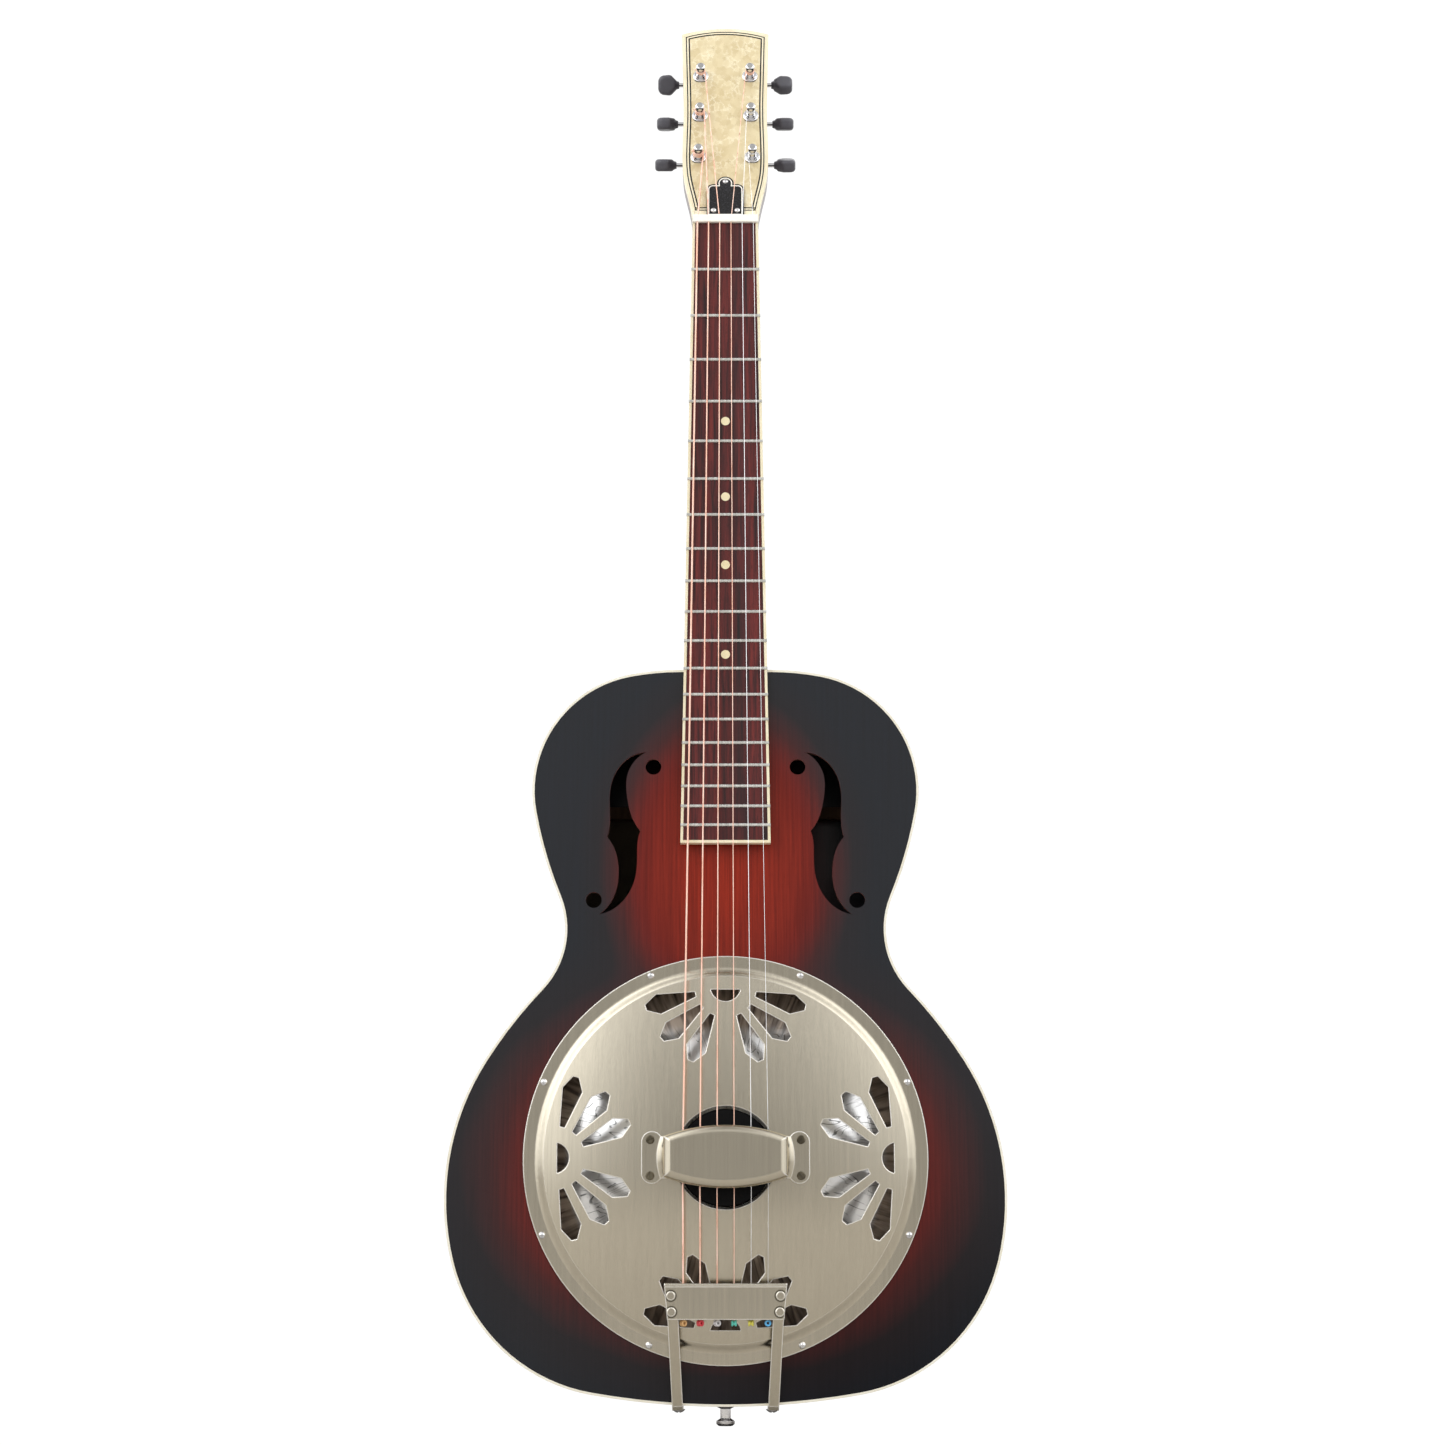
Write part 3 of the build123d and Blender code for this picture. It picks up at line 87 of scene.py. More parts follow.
class Graph:
    """A material whose nodes are wired by short calls."""

    def __init__(self, name):
        self.material = bpy.data.materials.new(name)
        self.material.use_nodes = True
        self.tree = self.material.node_tree
        self.shader = self.tree.nodes["Principled BSDF"]
        self.place = self.node("ShaderNodeTexCoord").outputs["Object"]

    def node(self, kind, **settings):
        made = self.tree.nodes.new(kind)
        for key, value in settings.items():
            setattr(made, key, value)
        return made

    def put(self, socket, value):
        if isinstance(value, bpy.types.NodeSocket):
            self.tree.links.new(value, socket)
        else:
            socket.default_value = value

    def set(self, **values):
        """Sets the surface's inputs; an underscore stands for a space in the input's name."""
        for key, value in values.items():
            self.put(self.shader.inputs[key.replace("_", " ")], value)

    def math(self, operation, first, second=0.0, third=0.0):
        made = self.node("ShaderNodeMath", operation=operation)
        for socket, value in zip(made.inputs, (first, second, third)):
            self.put(socket, value)
        return made.outputs[0]

    def axes(self):
        split = self.node("ShaderNodeSeparateXYZ")
        self.put(split.inputs[0], self.place)
        return split.outputs

    def stretched(self, x, y, z):
        """Coordinates multiplied along each axis, in units per metre."""
        made = self.node("ShaderNodeVectorMath", operation="MULTIPLY")
        self.put(made.inputs[0], self.place)
        self.put(made.inputs[1], (x, y, z))
        return made.outputs[0]

    def noise(self, vector, scale=1.0, detail=3.0, distortion=0.0):
        made = self.node("ShaderNodeTexNoise")
        self.put(made.inputs["Vector"], vector)
        self.put(made.inputs["Scale"], scale)
        self.put(made.inputs["Detail"], detail)
        self.put(made.inputs["Distortion"], distortion)
        return made.outputs["Fac"]

    def span(self, value, low, high, to_low=0.0, to_high=1.0, smooth=True):
        made = self.node("ShaderNodeMapRange", interpolation_type="SMOOTHSTEP" if smooth else "LINEAR")
        for socket, number in zip(made.inputs, (value, low, high, to_low, to_high)):
            self.put(socket, number)
        return made.outputs[0]

    def ramp(self, value, *stops):
        made = self.node("ShaderNodeValToRGB")
        elements = made.color_ramp.elements
        while len(elements) < len(stops):
            elements.new(0.5)
        for element, (place, colour) in zip(elements, stops):
            element.position = place
            element.color = colour
        self.put(made.inputs[0], value)
        return made.outputs[0]

    def mix(self, share, first, second, blend="MIX"):
        made = self.node("ShaderNodeMix", data_type="RGBA", blend_type=blend)
        self.put(made.inputs[0], share)
        self.put(made.inputs[6], first)
        self.put(made.inputs[7], second)
        return made.outputs[2]

    def bump(self, height, strength, distance, normal=None):
        made = self.node("ShaderNodeBump")
        self.put(made.inputs["Strength"], strength)
        self.put(made.inputs["Distance"], distance)
        self.put(made.inputs["Height"], height)
        if normal is not None:
            self.put(made.inputs["Normal"], normal)
        return made.outputs[0]

    def rounded(self, radius, narrow=0.99, wide=0.9):
        """Normal with sharp edges rounded over, and how close the point is to such an edge."""
        bevel = self.node("ShaderNodeBevel", samples=6)
        self.put(bevel.inputs["Radius"], radius)
        flat = self.node("ShaderNodeNewGeometry").outputs["Normal"]
        dot = self.node("ShaderNodeVectorMath", operation="DOT_PRODUCT")
        self.put(dot.inputs[0], bevel.outputs[0])
        self.put(dot.inputs[1], flat)
        return bevel.outputs[0], self.span(dot.outputs["Value"], narrow, wide)


def wood_grain(graph, across, along):
    """Fine streaks that run up the instrument, and short dark pores."""
    streaks = graph.noise(graph.stretched(across, across, along), 1.0, 4.0, 0.3)
    pores = graph.noise(graph.stretched(across * 9, across * 9, along * 8), 1.0, 2.0)
    return streaks, graph.span(pores, 0.62, 0.7)


def burst_material(name, edge_band):
    """Red-brown stain that darkens to black round the outline, under a satin lacquer."""
    graph = Graph(name)
    x, _, z = graph.axes()
    fields = []
    for centre_z, half_width, half_height in ((0.190, 0.074, 0.105), (-0.004, 0.151, 0.119)):
        wide = graph.math("POWER", graph.math("DIVIDE", x, half_width), 2.0)
        high = graph.math("DIVIDE", graph.math("SUBTRACT", z, centre_z), half_height)
        fields.append(graph.math("SQRT", graph.math("ADD", wide, graph.math("POWER", high, 2.0))))
    field = graph.math("SMOOTH_MIN", fields[0], fields[1], 0.35)
    cloud = graph.noise(graph.stretched(14, 14, 9), 1.0, 2.0)
    field = graph.math("ADD", field, graph.math("MULTIPLY", graph.math("SUBTRACT", cloud, 0.5), 0.10))
    field = graph.span(field, 0.2, 1.6, smooth=False)
    stain = graph.ramp(
        field,
        (0.0, srgb(156, 42, 20)),
        (0.28, srgb(136, 37, 21)),
        (0.44, srgb(112, 28, 20)),
        (0.55, srgb(66, 18, 16)),
        (0.66, srgb(20, 10, 14)),
        (0.80, srgb(10, 13, 21)),
    )
    streaks, pores = wood_grain(graph, 700, 16)
    figure = graph.ramp(streaks, (0.3, srgb(176, 160, 160)), (0.7, srgb(255, 255, 250)))
    stain = graph.mix(0.7, stain, figure, "MULTIPLY")
    stain = graph.mix(graph.math("MULTIPLY", pores, 0.35), stain, srgb(30, 10, 8))
    if edge_band:
        facing = graph.node("ShaderNodeSeparateXYZ")
        graph.put(facing.inputs[0], graph.node("ShaderNodeNewGeometry").outputs["True Normal"])
        wall = graph.span(graph.math("ABSOLUTE", facing.outputs[1]), 0.75, 0.4)
        edge_wood = graph.mix(graph.span(x, -0.2, 0.2), srgb(150, 96, 84), srgb(138, 84, 70))
        stain = graph.mix(wall, stain, edge_wood)
    graph.set(Base_Color=stain, Roughness=graph.span(streaks, 0.2, 0.8, 0.44, 0.40))
    low_gloss = graph.span(x, -0.14, 0.08, 0.85, 0.35)
    gloss_by_height = graph.span(z, -0.16, 0.06, low_gloss, 1.05)
    gloss = graph.math("MULTIPLY", gloss_by_height, graph.span(field, 0.35, 0.66, 0.45, 1.0))
    graph.set(Specular_IOR_Level=graph.math("MULTIPLY", gloss, 0.3), Coat_Roughness=0.22)
    graph.set(Coat_Weight=graph.math("MULTIPLY", gloss, 0.5), Coat_Tint=srgb(226, 238, 255))
    graph.put(graph.shader.inputs["Normal"], graph.bump(streaks, 0.02, 0.0003))
    return graph.material


def stained_wood():
    graph = Graph("stained_wood")
    streaks, pores = wood_grain(graph, 300, 8)
    broad = graph.noise(graph.stretched(30, 30, 5), 1.0, 2.0)
    tone = graph.ramp(broad, (0.3, srgb(54, 20, 14)), (0.7, srgb(82, 30, 19)))
    figure = graph.ramp(streaks, (0.3, srgb(190, 182, 180)), (0.7, srgb(255, 255, 255)))
    tone = graph.mix(0.8, tone, figure, "MULTIPLY")
    tone = graph.mix(graph.math("MULTIPLY", pores, 0.4), tone, srgb(18, 8, 6))
    graph.set(Base_Color=tone, Roughness=0.42, Coat_Weight=0.3, Coat_Roughness=0.28)
    normal = graph.rounded(0.0025)[0]
    graph.put(graph.shader.inputs["Normal"], graph.bump(streaks, 0.06, 0.0004, normal))
    return graph.material


def plain_wood(name, dark, light, roughness, shine=0.5):
    graph = Graph(name)
    streaks, pores = wood_grain(graph, 320, 10)
    tone = graph.ramp(streaks, (0.25, dark), (0.75, light))
    tone = graph.mix(graph.math("MULTIPLY", pores, 0.4), tone, dark)
    graph.set(Base_Color=tone, Roughness=roughness, Specular_IOR_Level=shine)
    graph.put(graph.shader.inputs["Normal"], graph.bump(streaks, 0.15, 0.0004))
    return graph.material


def board_wood():
    """Dark reddish-brown board with black veins and open pores, oiled rather than lacquered."""
    graph = Graph("board_wood")
    veins = graph.noise(graph.stretched(420, 420, 7), 1.0, 5.0, 0.6)
    broad = graph.noise(graph.stretched(90, 90, 3), 1.0, 2.0)
    pores = graph.span(graph.noise(graph.stretched(2600, 2600, 130), 1.0, 1.0), 0.6, 0.68)
    tone = graph.ramp(
        veins,
        (0.30, srgb(30, 10, 12)),
        (0.44, srgb(76, 26, 26)),
        (0.58, srgb(104, 36, 34)),
        (0.78, srgb(124, 46, 40)),
    )
    patches = graph.ramp(broad, (0.34, srgb(140, 132, 136)), (0.62, srgb(255, 255, 255)))
    tone = graph.mix(0.8, tone, patches, "MULTIPLY")
    x = graph.axes()[0]
    stripe = graph.math("MULTIPLY", graph.span(x, 0.003, 0.006), graph.span(x, 0.018, 0.012))
    tone = graph.mix(graph.math("MULTIPLY", stripe, 0.28), tone, srgb(34, 26, 30))
    tone = graph.mix(graph.math("MULTIPLY", pores, 0.5), tone, srgb(22, 10, 10))
    graph.set(Base_Color=tone, Roughness=graph.span(veins, 0.3, 0.7, 0.5, 0.38), Specular_IOR_Level=0.36)
    graph.put(graph.shader.inputs["Normal"], graph.bump(veins, 0.12, 0.0004))
    return graph.material


def brushed_metal(name, tone, roughness, along, edge_radius=0.0012, shade_spots=()):
    """Nickel with very fine brush lines along one direction, painted pale highlights along its edges and
    painted dark shade rings round rivets.
    """
    graph = Graph(name)
    fine = [3600.0, 3600.0, 3600.0]
    fine[along] = 22.0
    coarse = [520.0, 520.0, 520.0]
    coarse[along] = 5.0
    lines = graph.noise(graph.stretched(*fine), 1.0, 2.0)
    bands = graph.noise(graph.stretched(*coarse), 1.0, 3.0)
    clouds = graph.noise(graph.stretched(22, 22, 22), 1.0, 3.0)
    normal, edge = graph.rounded(edge_radius, 0.998, 0.965)
    shade = graph.ramp(lines, (0.3, srgb(244, 244, 244)), (0.7, srgb(255, 255, 255)))
    broad = graph.ramp(bands, (0.3, srgb(238, 238, 238)), (0.7, srgb(255, 255, 255)))
    shade = graph.mix(0.5, shade, broad, "MULTIPLY")
    colour = graph.mix(1.0, tone, shade, "MULTIPLY")
    x, _, z = graph.axes()
    # Painted shade: a dark olive ring round each rivet, where the plate looks shaded beside the rivets.
    for spot_x, spot_z in shade_spots:
        across = graph.math("SUBTRACT", graph.math("ABSOLUTE", x), spot_x)
        along_z = graph.math("SUBTRACT", z, spot_z)
        away = graph.math("ADD", graph.math("POWER", across, 2.0), graph.math("POWER", along_z, 2.0))
        ring = graph.span(graph.math("SQRT", away), 0.0042, 0.0034)
        colour = graph.mix(graph.math("MULTIPLY", ring, 0.8), colour, srgb(58, 54, 40))
    # Painted highlight: edges are mixed towards near white and, below, made less metallic, so they show as
    # bright lines.
    colour = graph.mix(graph.math("MULTIPLY", edge, 0.95), colour, srgb(252, 249, 242))
    rough = graph.math("ADD", roughness, graph.math("MULTIPLY", graph.math("SUBTRACT", clouds, 0.5), 0.04))
    graph.set(Base_Color=colour, Roughness=rough)
    graph.set(Metallic=graph.math("SUBTRACT", 1.0, graph.math("MULTIPLY", edge, 0.6)))
    graph.put(graph.shader.inputs["Normal"], graph.bump(lines, 0.02, 0.00003, normal))
    return graph.material


PALE_HAZE = (0.96, 0.96, 0.96, 1.0)


def bright_metal(name, tone, roughness, edge_radius=0.0003, haze_tone=PALE_HAZE, dark_band=False):
    """Polished plating with a little uneven haze.

    A painted dark band, chosen by the surface's slope, stands for the dark of the room below mirrored in it;
    a fainter painted grey band lies on surfaces tilted up.
    """
    graph = Graph(name)
    haze = graph.noise(graph.stretched(180, 180, 180), 1.0, 4.0)
    normal = graph.rounded(edge_radius)[0]
    colour = graph.mix(graph.span(haze, 0.35, 0.75), tone, haze_tone)
    if dark_band:
        # Painted reflection: the base colour is darkened by the surface's slope, dark where it tilts downward
        # and a little grey where it tilts upward.
        tilt = graph.node("ShaderNodeSeparateXYZ")
        graph.put(tilt.inputs[0], graph.node("ShaderNodeNewGeometry").outputs["Normal"])
        sideways = graph.math("ABSOLUTE", tilt.outputs[0])
        low = graph.math("ADD", tilt.outputs[2], graph.math("MULTIPLY", sideways, 0.35))
        band = graph.ramp(
            graph.span(low, -1.0, 1.0, smooth=False),
            (0.0, srgb(255, 255, 255)),
            (0.12, srgb(230, 230, 232)),
            (0.2, srgb(30, 28, 34)),
            (0.33, srgb(36, 34, 40)),
            (0.39, srgb(255, 255, 255)),
            (0.74, srgb(255, 255, 255)),
            (0.80, srgb(110, 108, 112)),
            (0.88, srgb(255, 255, 255)),
        )
        colour = graph.mix(1.0, colour, band, "MULTIPLY")
    rough = graph.span(haze, 0.3, 0.8, roughness, roughness + 0.07)
    graph.set(Base_Color=colour, Metallic=1.0, Roughness=rough)
    graph.put(graph.shader.inputs["Normal"], normal)
    return graph.material


def spun_aluminium():
    """Thin spun cone: bright near the middle, with faint radial streaks; towards the rim, the top and the
    bottom, painted brown shade with less metal shine.
    """
    graph = Graph("spun_aluminium")
    x, _, z = graph.axes()
    radius = graph.math("SQRT", graph.math("ADD", graph.math("POWER", x, 2.0), graph.math("POWER", z, 2.0)))
    angle = graph.math("ARCTAN2", z, x)
    combined = graph.node("ShaderNodeCombineXYZ")
    graph.put(combined.inputs[0], graph.math("MULTIPLY", angle, 26.0))
    graph.put(combined.inputs[1], graph.math("MULTIPLY", radius, 26.0))
    streaks = graph.noise(combined.outputs[0], 1.0, 4.0, 0.5)
    scratches = graph.noise(graph.stretched(900, 900, 240), 1.0, 3.0)
    rings = graph.math("SINE", graph.math("MULTIPLY", radius, 5200.0))
    tone = graph.ramp(
        streaks,
        (0.28, srgb(130, 128, 128)),
        (0.36, srgb(252, 252, 252)),
        (0.7, srgb(255, 255, 255)),
    )
    tone = graph.mix(graph.span(scratches, 0.6, 0.72, 0.0, 0.3), tone, srgb(120, 116, 114))
    bent = graph.node("ShaderNodeCombineXYZ")
    graph.put(bent.inputs[0], graph.math("MULTIPLY", angle, 9.0))
    graph.put(bent.inputs[1], graph.math("MULTIPLY", radius, 32.0))
    curl = graph.noise(bent.outputs[0], 1.0, 1.0, 0.4)
    folds = graph.math("ABSOLUTE", graph.math("SINE", graph.math("MULTIPLY", curl, 26.0)))
    line = graph.math("MULTIPLY", graph.span(folds, 0.34, 0.1), graph.span(streaks, 0.36, 0.52))
    tone = graph.mix(graph.math("MULTIPLY", line, 0.75), tone, srgb(34, 33, 36))
    # Painted shade: where the cone lies deep under the coverplate, near its rim and towards its top and
    # bottom, it turns brown and less metallic.
    rim = graph.span(radius, 0.098, 0.106)
    upper = graph.span(z, 0.074, 0.088)
    lower = graph.span(z, -0.045, -0.06)
    dull = graph.math("MAXIMUM", rim, graph.math("MAXIMUM", upper, lower))
    tone = graph.mix(dull, tone, graph.ramp(streaks, (0.35, srgb(104, 90, 80)), (0.6, srgb(196, 178, 160))))
    graph.set(Base_Color=tone, Metallic=graph.span(dull, 0.0, 1.0, 0.6, 0.2))
    graph.set(Roughness=graph.span(streaks, 0.3, 0.7, 0.22, 0.12))
    waves = graph.bump(streaks, 0.15, 0.0006)
    graph.put(graph.shader.inputs["Normal"], graph.bump(rings, 0.08, 0.00005, waves))
    return graph.material


def cream_plastic(name, light, dark, roughness):
    graph = Graph(name)
    cloud = graph.noise(graph.stretched(60, 60, 60), 1.0, 3.0)
    tone = graph.mix(graph.span(cloud, 0.3, 0.7), light, dark)
    normal = graph.rounded(0.0003)[0]
    graph.set(Base_Color=tone, Roughness=graph.span(cloud, 0.3, 0.7, roughness, roughness + 0.1))
    graph.set(Subsurface_Weight=0.08, Subsurface_Radius=(0.002, 0.0015, 0.001), Normal=normal)
    return graph.material


def pearl_face():
    """Pearl-like plastic: overlapping flakes in warm cream, each with a thin pale rim."""
    graph = Graph("pearl_face")
    warped = graph.node("ShaderNodeVectorMath", operation="ADD")
    drift = graph.node("ShaderNodeTexNoise")
    graph.put(drift.inputs["Vector"], graph.stretched(260, 260, 260))
    graph.put(warped.inputs[0], graph.stretched(260, 260, 180))
    graph.put(warped.inputs[1], drift.outputs["Color"])
    flakes = graph.node("ShaderNodeTexVoronoi", feature="F1")
    rims = graph.node("ShaderNodeTexVoronoi", feature="DISTANCE_TO_EDGE")
    for cells in (flakes, rims):
        graph.put(cells.inputs["Vector"], warped.outputs[0])
        graph.put(cells.inputs["Scale"], 1.0)
    shade = graph.node("ShaderNodeSeparateColor")
    graph.put(shade.inputs[0], flakes.outputs["Color"])
    clouds = graph.noise(graph.stretched(60, 60, 40), 1.0, 3.0, 0.6)
    flake_share = graph.math("MULTIPLY", shade.outputs[0], 0.3)
    depth = graph.math("ADD", flake_share, graph.math("MULTIPLY", clouds, 0.7))
    tone = graph.ramp(
        depth,
        (0.32, srgb(208, 189, 144)),
        (0.5, srgb(218, 201, 158)),
        (0.68, srgb(227, 212, 172)),
    )
    patchy = graph.noise(graph.stretched(110, 110, 110), 1.0, 2.0)
    near_rim = graph.span(rims.outputs["Distance"], 0.10, 0.02)
    rim = graph.math("MULTIPLY", near_rim, graph.span(patchy, 0.42, 0.6))
    tone = graph.mix(graph.math("MULTIPLY", rim, 0.55), tone, srgb(252, 246, 222))
    graph.set(Base_Color=tone, Roughness=0.3, Coat_Weight=0.6, Coat_Roughness=0.08, Sheen_Weight=0.1)
    return graph.material


def black_plastic(name, tone, low, high, edge_radius=0.0004):
    graph = Graph(name)
    speckle = graph.noise(graph.stretched(900, 900, 900), 1.0, 3.0)
    smears = graph.noise(graph.stretched(60, 60, 60), 1.0, 3.0)
    normal = graph.rounded(edge_radius)[0]
    graph.set(Base_Color=graph.mix(graph.span(speckle, 0.45, 0.8, 0.0, 0.5), tone, srgb(70, 70, 76)))
    graph.set(Roughness=graph.span(smears, 0.3, 0.7, low, high), Normal=normal)
    return graph.material


def wire_metal(name, dark, light, roughness, metallic=1.0):
    graph = Graph(name)
    stain = graph.noise(graph.stretched(700, 700, 40), 1.0, 3.0)
    graph.set(Base_Color=graph.mix(graph.span(stain, 0.3, 0.7), dark, light), Metallic=metallic)
    graph.set(Roughness=graph.span(stain, 0.3, 0.7, roughness, roughness + 0.1))
    return graph.material


def enamel(name, tone):
    """Coloured coating on a ball end, worn to metal in small spots."""
    graph = Graph(name)
    wear = graph.span(graph.noise(graph.stretched(900, 900, 900), 1.0, 3.0), 0.66, 0.74)
    graph.set(Base_Color=graph.mix(wear, tone, srgb(190, 170, 130)))
    graph.set(Metallic=graph.math("MULTIPLY", wear, 0.9))
    graph.set(Roughness=0.28, Coat_Weight=0.4)
    return graph.material


def paper():
    graph = Graph("label_paper")
    fibres = graph.noise(graph.stretched(500, 500, 500), 1.0, 4.0)
    age = graph.noise(graph.stretched(25, 25, 25), 1.0, 2.0)
    # Painted shade: both tones are far darker than paper, for the shade inside the body; which of them shows
    # varies at random.
    tone = graph.mix(graph.span(age, 0.3, 0.7), srgb(84, 74, 58), srgb(66, 56, 42))
    tone = graph.mix(graph.math("MULTIPLY", fibres, 0.3), tone, srgb(52, 44, 34))
    graph.set(Base_Color=tone, Roughness=0.9)
    return graph.material


WARM_NICKEL = srgb(206, 198, 180)
# Places (across, height) of the painted shade rings round the tailpiece's rivets.
RIVETS = ((34.6 * MM, -86.5 * MM), (34.2 * MM, -96.5 * MM))
MATERIALS = {
    "top": burst_material("sunburst_top", True),
    "back": burst_material("sunburst_back", False),
    "stained": stained_wood(),
    # Bare wood darker than raw wood: partly its own colour, partly painted shade for the inside of the body.
    "bare": plain_wood("bare_wood", srgb(66, 46, 31), srgb(92, 67, 45), 0.85),
    "black_wood": plain_wood("black_wood", srgb(5, 5, 6), srgb(12, 11, 12), 0.6, 0.12),
    "board": board_wood(),
    "cream": cream_plastic("cream_binding", srgb(240, 228, 190), srgb(228, 214, 172), 0.3),
    "pale_cream": cream_plastic("body_binding", srgb(240, 236, 222), srgb(230, 224, 206), 0.3),
    "neck_cream": cream_plastic("neck_binding", srgb(243, 234, 206), srgb(234, 223, 190), 0.3),
    "bone": cream_plastic("nut_bone", srgb(255, 252, 244), srgb(250, 246, 234), 0.35),
    "cone": spun_aluminium(),
    "nickel": brushed_metal("brushed_nickel", WARM_NICKEL, 0.2, 2),
    "riveted": brushed_metal("riveted_nickel", WARM_NICKEL, 0.2, 2, shade_spots=RIVETS),
    "bright": bright_metal("bright_nickel", srgb(236, 236, 240), 0.05, dark_band=True),
    "screw": bright_metal("screw_plating", srgb(214, 214, 216), 0.14, 0.0001),
    "dull_screw": bright_metal("dull_screw", srgb(84, 78, 66), 0.32, 0.0001, srgb(122, 115, 98)),
    "steel": wire_metal("plain_steel", srgb(120, 120, 122), srgb(160, 160, 162), 0.35),
    "fret": wire_metal("fret_wire", srgb(208, 208, 204), srgb(236, 236, 232), 0.22, 0.85),
    "pearl": pearl_face(),
    "black_gloss": black_plastic("black_plastic", srgb(26, 26, 28), 0.14, 0.24),
    "button": black_plastic("black_button", srgb(76, 75, 82), 0.3, 0.42, 0.003),
    "plain_string": wire_metal("plain_string", srgb(236, 237, 240), srgb(252, 252, 254), 0.2, 0.8),
    "bronze_string": wire_metal("bronze_string", srgb(244, 188, 164), srgb(255, 222, 206), 0.25, 0.5),
    "paper": paper(),
}

NODE_FINISH = {
    "top": "top", "back": "back", "sides": "stained", "neck": "stained",
    "body_bindings": "pale_cream", "fingerboard_binding": "neck_cream", "headstock_binding": "neck_cream",
    "position_dots": "cream", "nut": "bone", "saddle": "bare", "biscuit": "black_wood",
    "neck_block": "bare", "tail_block": "bare", "linings": "bare", "braces": "bare",
    "soundwell": "bare", "fingerboard_wedge": "black_wood", "fingerboard": "board",
    "resonator_cone": "cone", "coverplate": "nickel", "hand_rest": "nickel",
    "tailpiece_plate": "riveted", "tailpiece_straps": "nickel", "tailpiece_rivets": "nickel",
    "hand_rest_screws": "dull_screw", "coverplate_screws": "screw", "tailpiece_screws": "screw",
    "strap_button": "bright", "biscuit_screw": "screw", "neck_bolts": "steel", "truss_rod": "steel",
    "truss_rod_nut": "steel", "truss_rod_cover_screws": "screw", "tuner_plates": "bright",
    "tuner_plate_screws": "screw", "tuner_ferrules": "bright", "frets": "fret",
    "headstock_veneer": "pearl", "truss_rod_cover": "black_gloss", "plain_strings": "plain_string",
    "wound_strings": "bronze_string", "string_ball_ends": "bronze_string",
}
for count in range(1, STRING_COUNT + 1):
    NODE_FINISH[f"tuner_post_{count}"] = "bright"
    NODE_FINISH[f"tuner_worm_{count}"] = "bright"
    NODE_FINISH[f"tuner_button_{count}"] = "button"


def finish_node(name, finish):
    node = frame["nodes"][name]
    node.data.materials.clear()
    node.data.materials.append(MATERIALS[finish])


for name, finish in NODE_FINISH.items():
    finish_node(name, finish)


# ---- Mesh pieces ----


def add_piece(name, points, faces, material, body, slot, smooth=True):
    mesh = bpy.data.meshes.new(name)
    mesh.from_pydata(points, [], faces)
    mesh.validate()
    mesh.materials.append(material)
    for polygon in mesh.polygons:
        polygon.use_smooth = smooth
    mesh.update()
    piece = bpy.data.objects.new(name, mesh)
    bpy.context.scene.collection.objects.link(piece)
    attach(piece, body)
    return piece


def spread(start, end, step):
    """Points from start up to, but not including, end, about one step apart."""
    count = max(1, round((end - start).length / step))
    return [start.lerp(end, index / count) for index in range(count)]


def tube(path, radius_at, sides):
    """Points and faces of a closed round tube along a path; radius_at(along, angle) gives its radius."""
    points = []
    faces = []
    along = 0.0
    direction = (path[1] - path[0]).normalized()
    side = direction.orthogonal().normalized()
    for index, centre in enumerate(path):
        if index:
            along += (centre - path[index - 1]).length
        ahead = path[min(index + 1, len(path) - 1)]
        behind = path[max(index - 1, 0)]
        turned = (ahead - behind).normalized()
        side = (side - turned * side.dot(turned)).normalized()
        up = turned.cross(side)
        for corner in range(sides):
            angle = 2 * math.pi * corner / sides
            reach = radius_at(along, angle)
            points.append(centre + (side * math.cos(angle) + up * math.sin(angle)) * reach)
    for ring in range(len(path) - 1):
        for corner in range(sides):
            beside = (corner + 1) % sides
            low = ring * sides
            faces.append((low + corner, low + beside, low + sides + beside, low + sides + corner))
    faces.append(tuple(reversed(range(sides))))
    last = (len(path) - 1) * sides
    faces.append(tuple(last + corner for corner in range(sides)))
    return points, faces


# ---- Strings: the bare wires and the bronze-wound ones, with their turns round the posts ----


def string_solids():
    """Each packed string as a list of points, from string 1 on the treble side to string 6."""
    solids = []
    for name in ("plain_strings", "wound_strings"):
        mesh = frame["nodes"][name].data
        parent = list(range(len(mesh.vertices)))

        def root(index):
            while parent[index] != index:
                parent[index] = parent[parent[index]]
                index = parent[index]
            return index

        same = {}
        for vertex in mesh.vertices:
            key = tuple(round(value / (0.01 * MM)) for value in vertex.co)
            first = same.setdefault(key, vertex.index)
            parent[root(vertex.index)] = root(first)
        for edge in mesh.edges:
            parent[root(edge.vertices[0])] = root(edge.vertices[1])
        groups = {}
        for vertex in mesh.vertices:
            groups.setdefault(root(vertex.index), []).append(vertex.co.copy())
        solids.extend(groups.values())
    return sorted(solids, key=lambda points: -min(points, key=lambda point: point.z).x)


def middle(points):
    low = Vector(min(point[axis] for point in points) for axis in range(3))
    high = Vector(max(point[axis] for point in points) for axis in range(3))
    return (low + high) / 2, high - low


def string_marks(points):
    """Middle of a string at the ball end, over the saddle and over the nut, and its diameter."""
    marks = []
    nut_low, nut_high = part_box("nut")
    bottom = min(point.z for point in points)
    at_ball = (bottom - MM, bottom + MM)
    at_saddle = (-6 * MM, 6 * MM)
    at_nut = (nut_low.z - 4 * MM, nut_high.z + 4 * MM)
    for low, high in (at_ball, at_saddle, at_nut):
        ring = [point for point in points if low <= point.z <= high]
        marks.append(middle(ring))
    diameter = marks[0][1].x
    return [centre for centre, _ in marks], diameter


def post_axis(number):
    joint = JOINTS[f"tuner_{number}_post_turn"]
    return Vector(joint["pos_m"])


WAIST_RADIUS = 2.6 * MM
EYE_FROM_JOINT = -22.6 * MM
COIL_GAP = 0.05 * MM
TURNS = {1: 5, 2: 5, 3: 4, 4: 3, 5: 3, 6: 3}


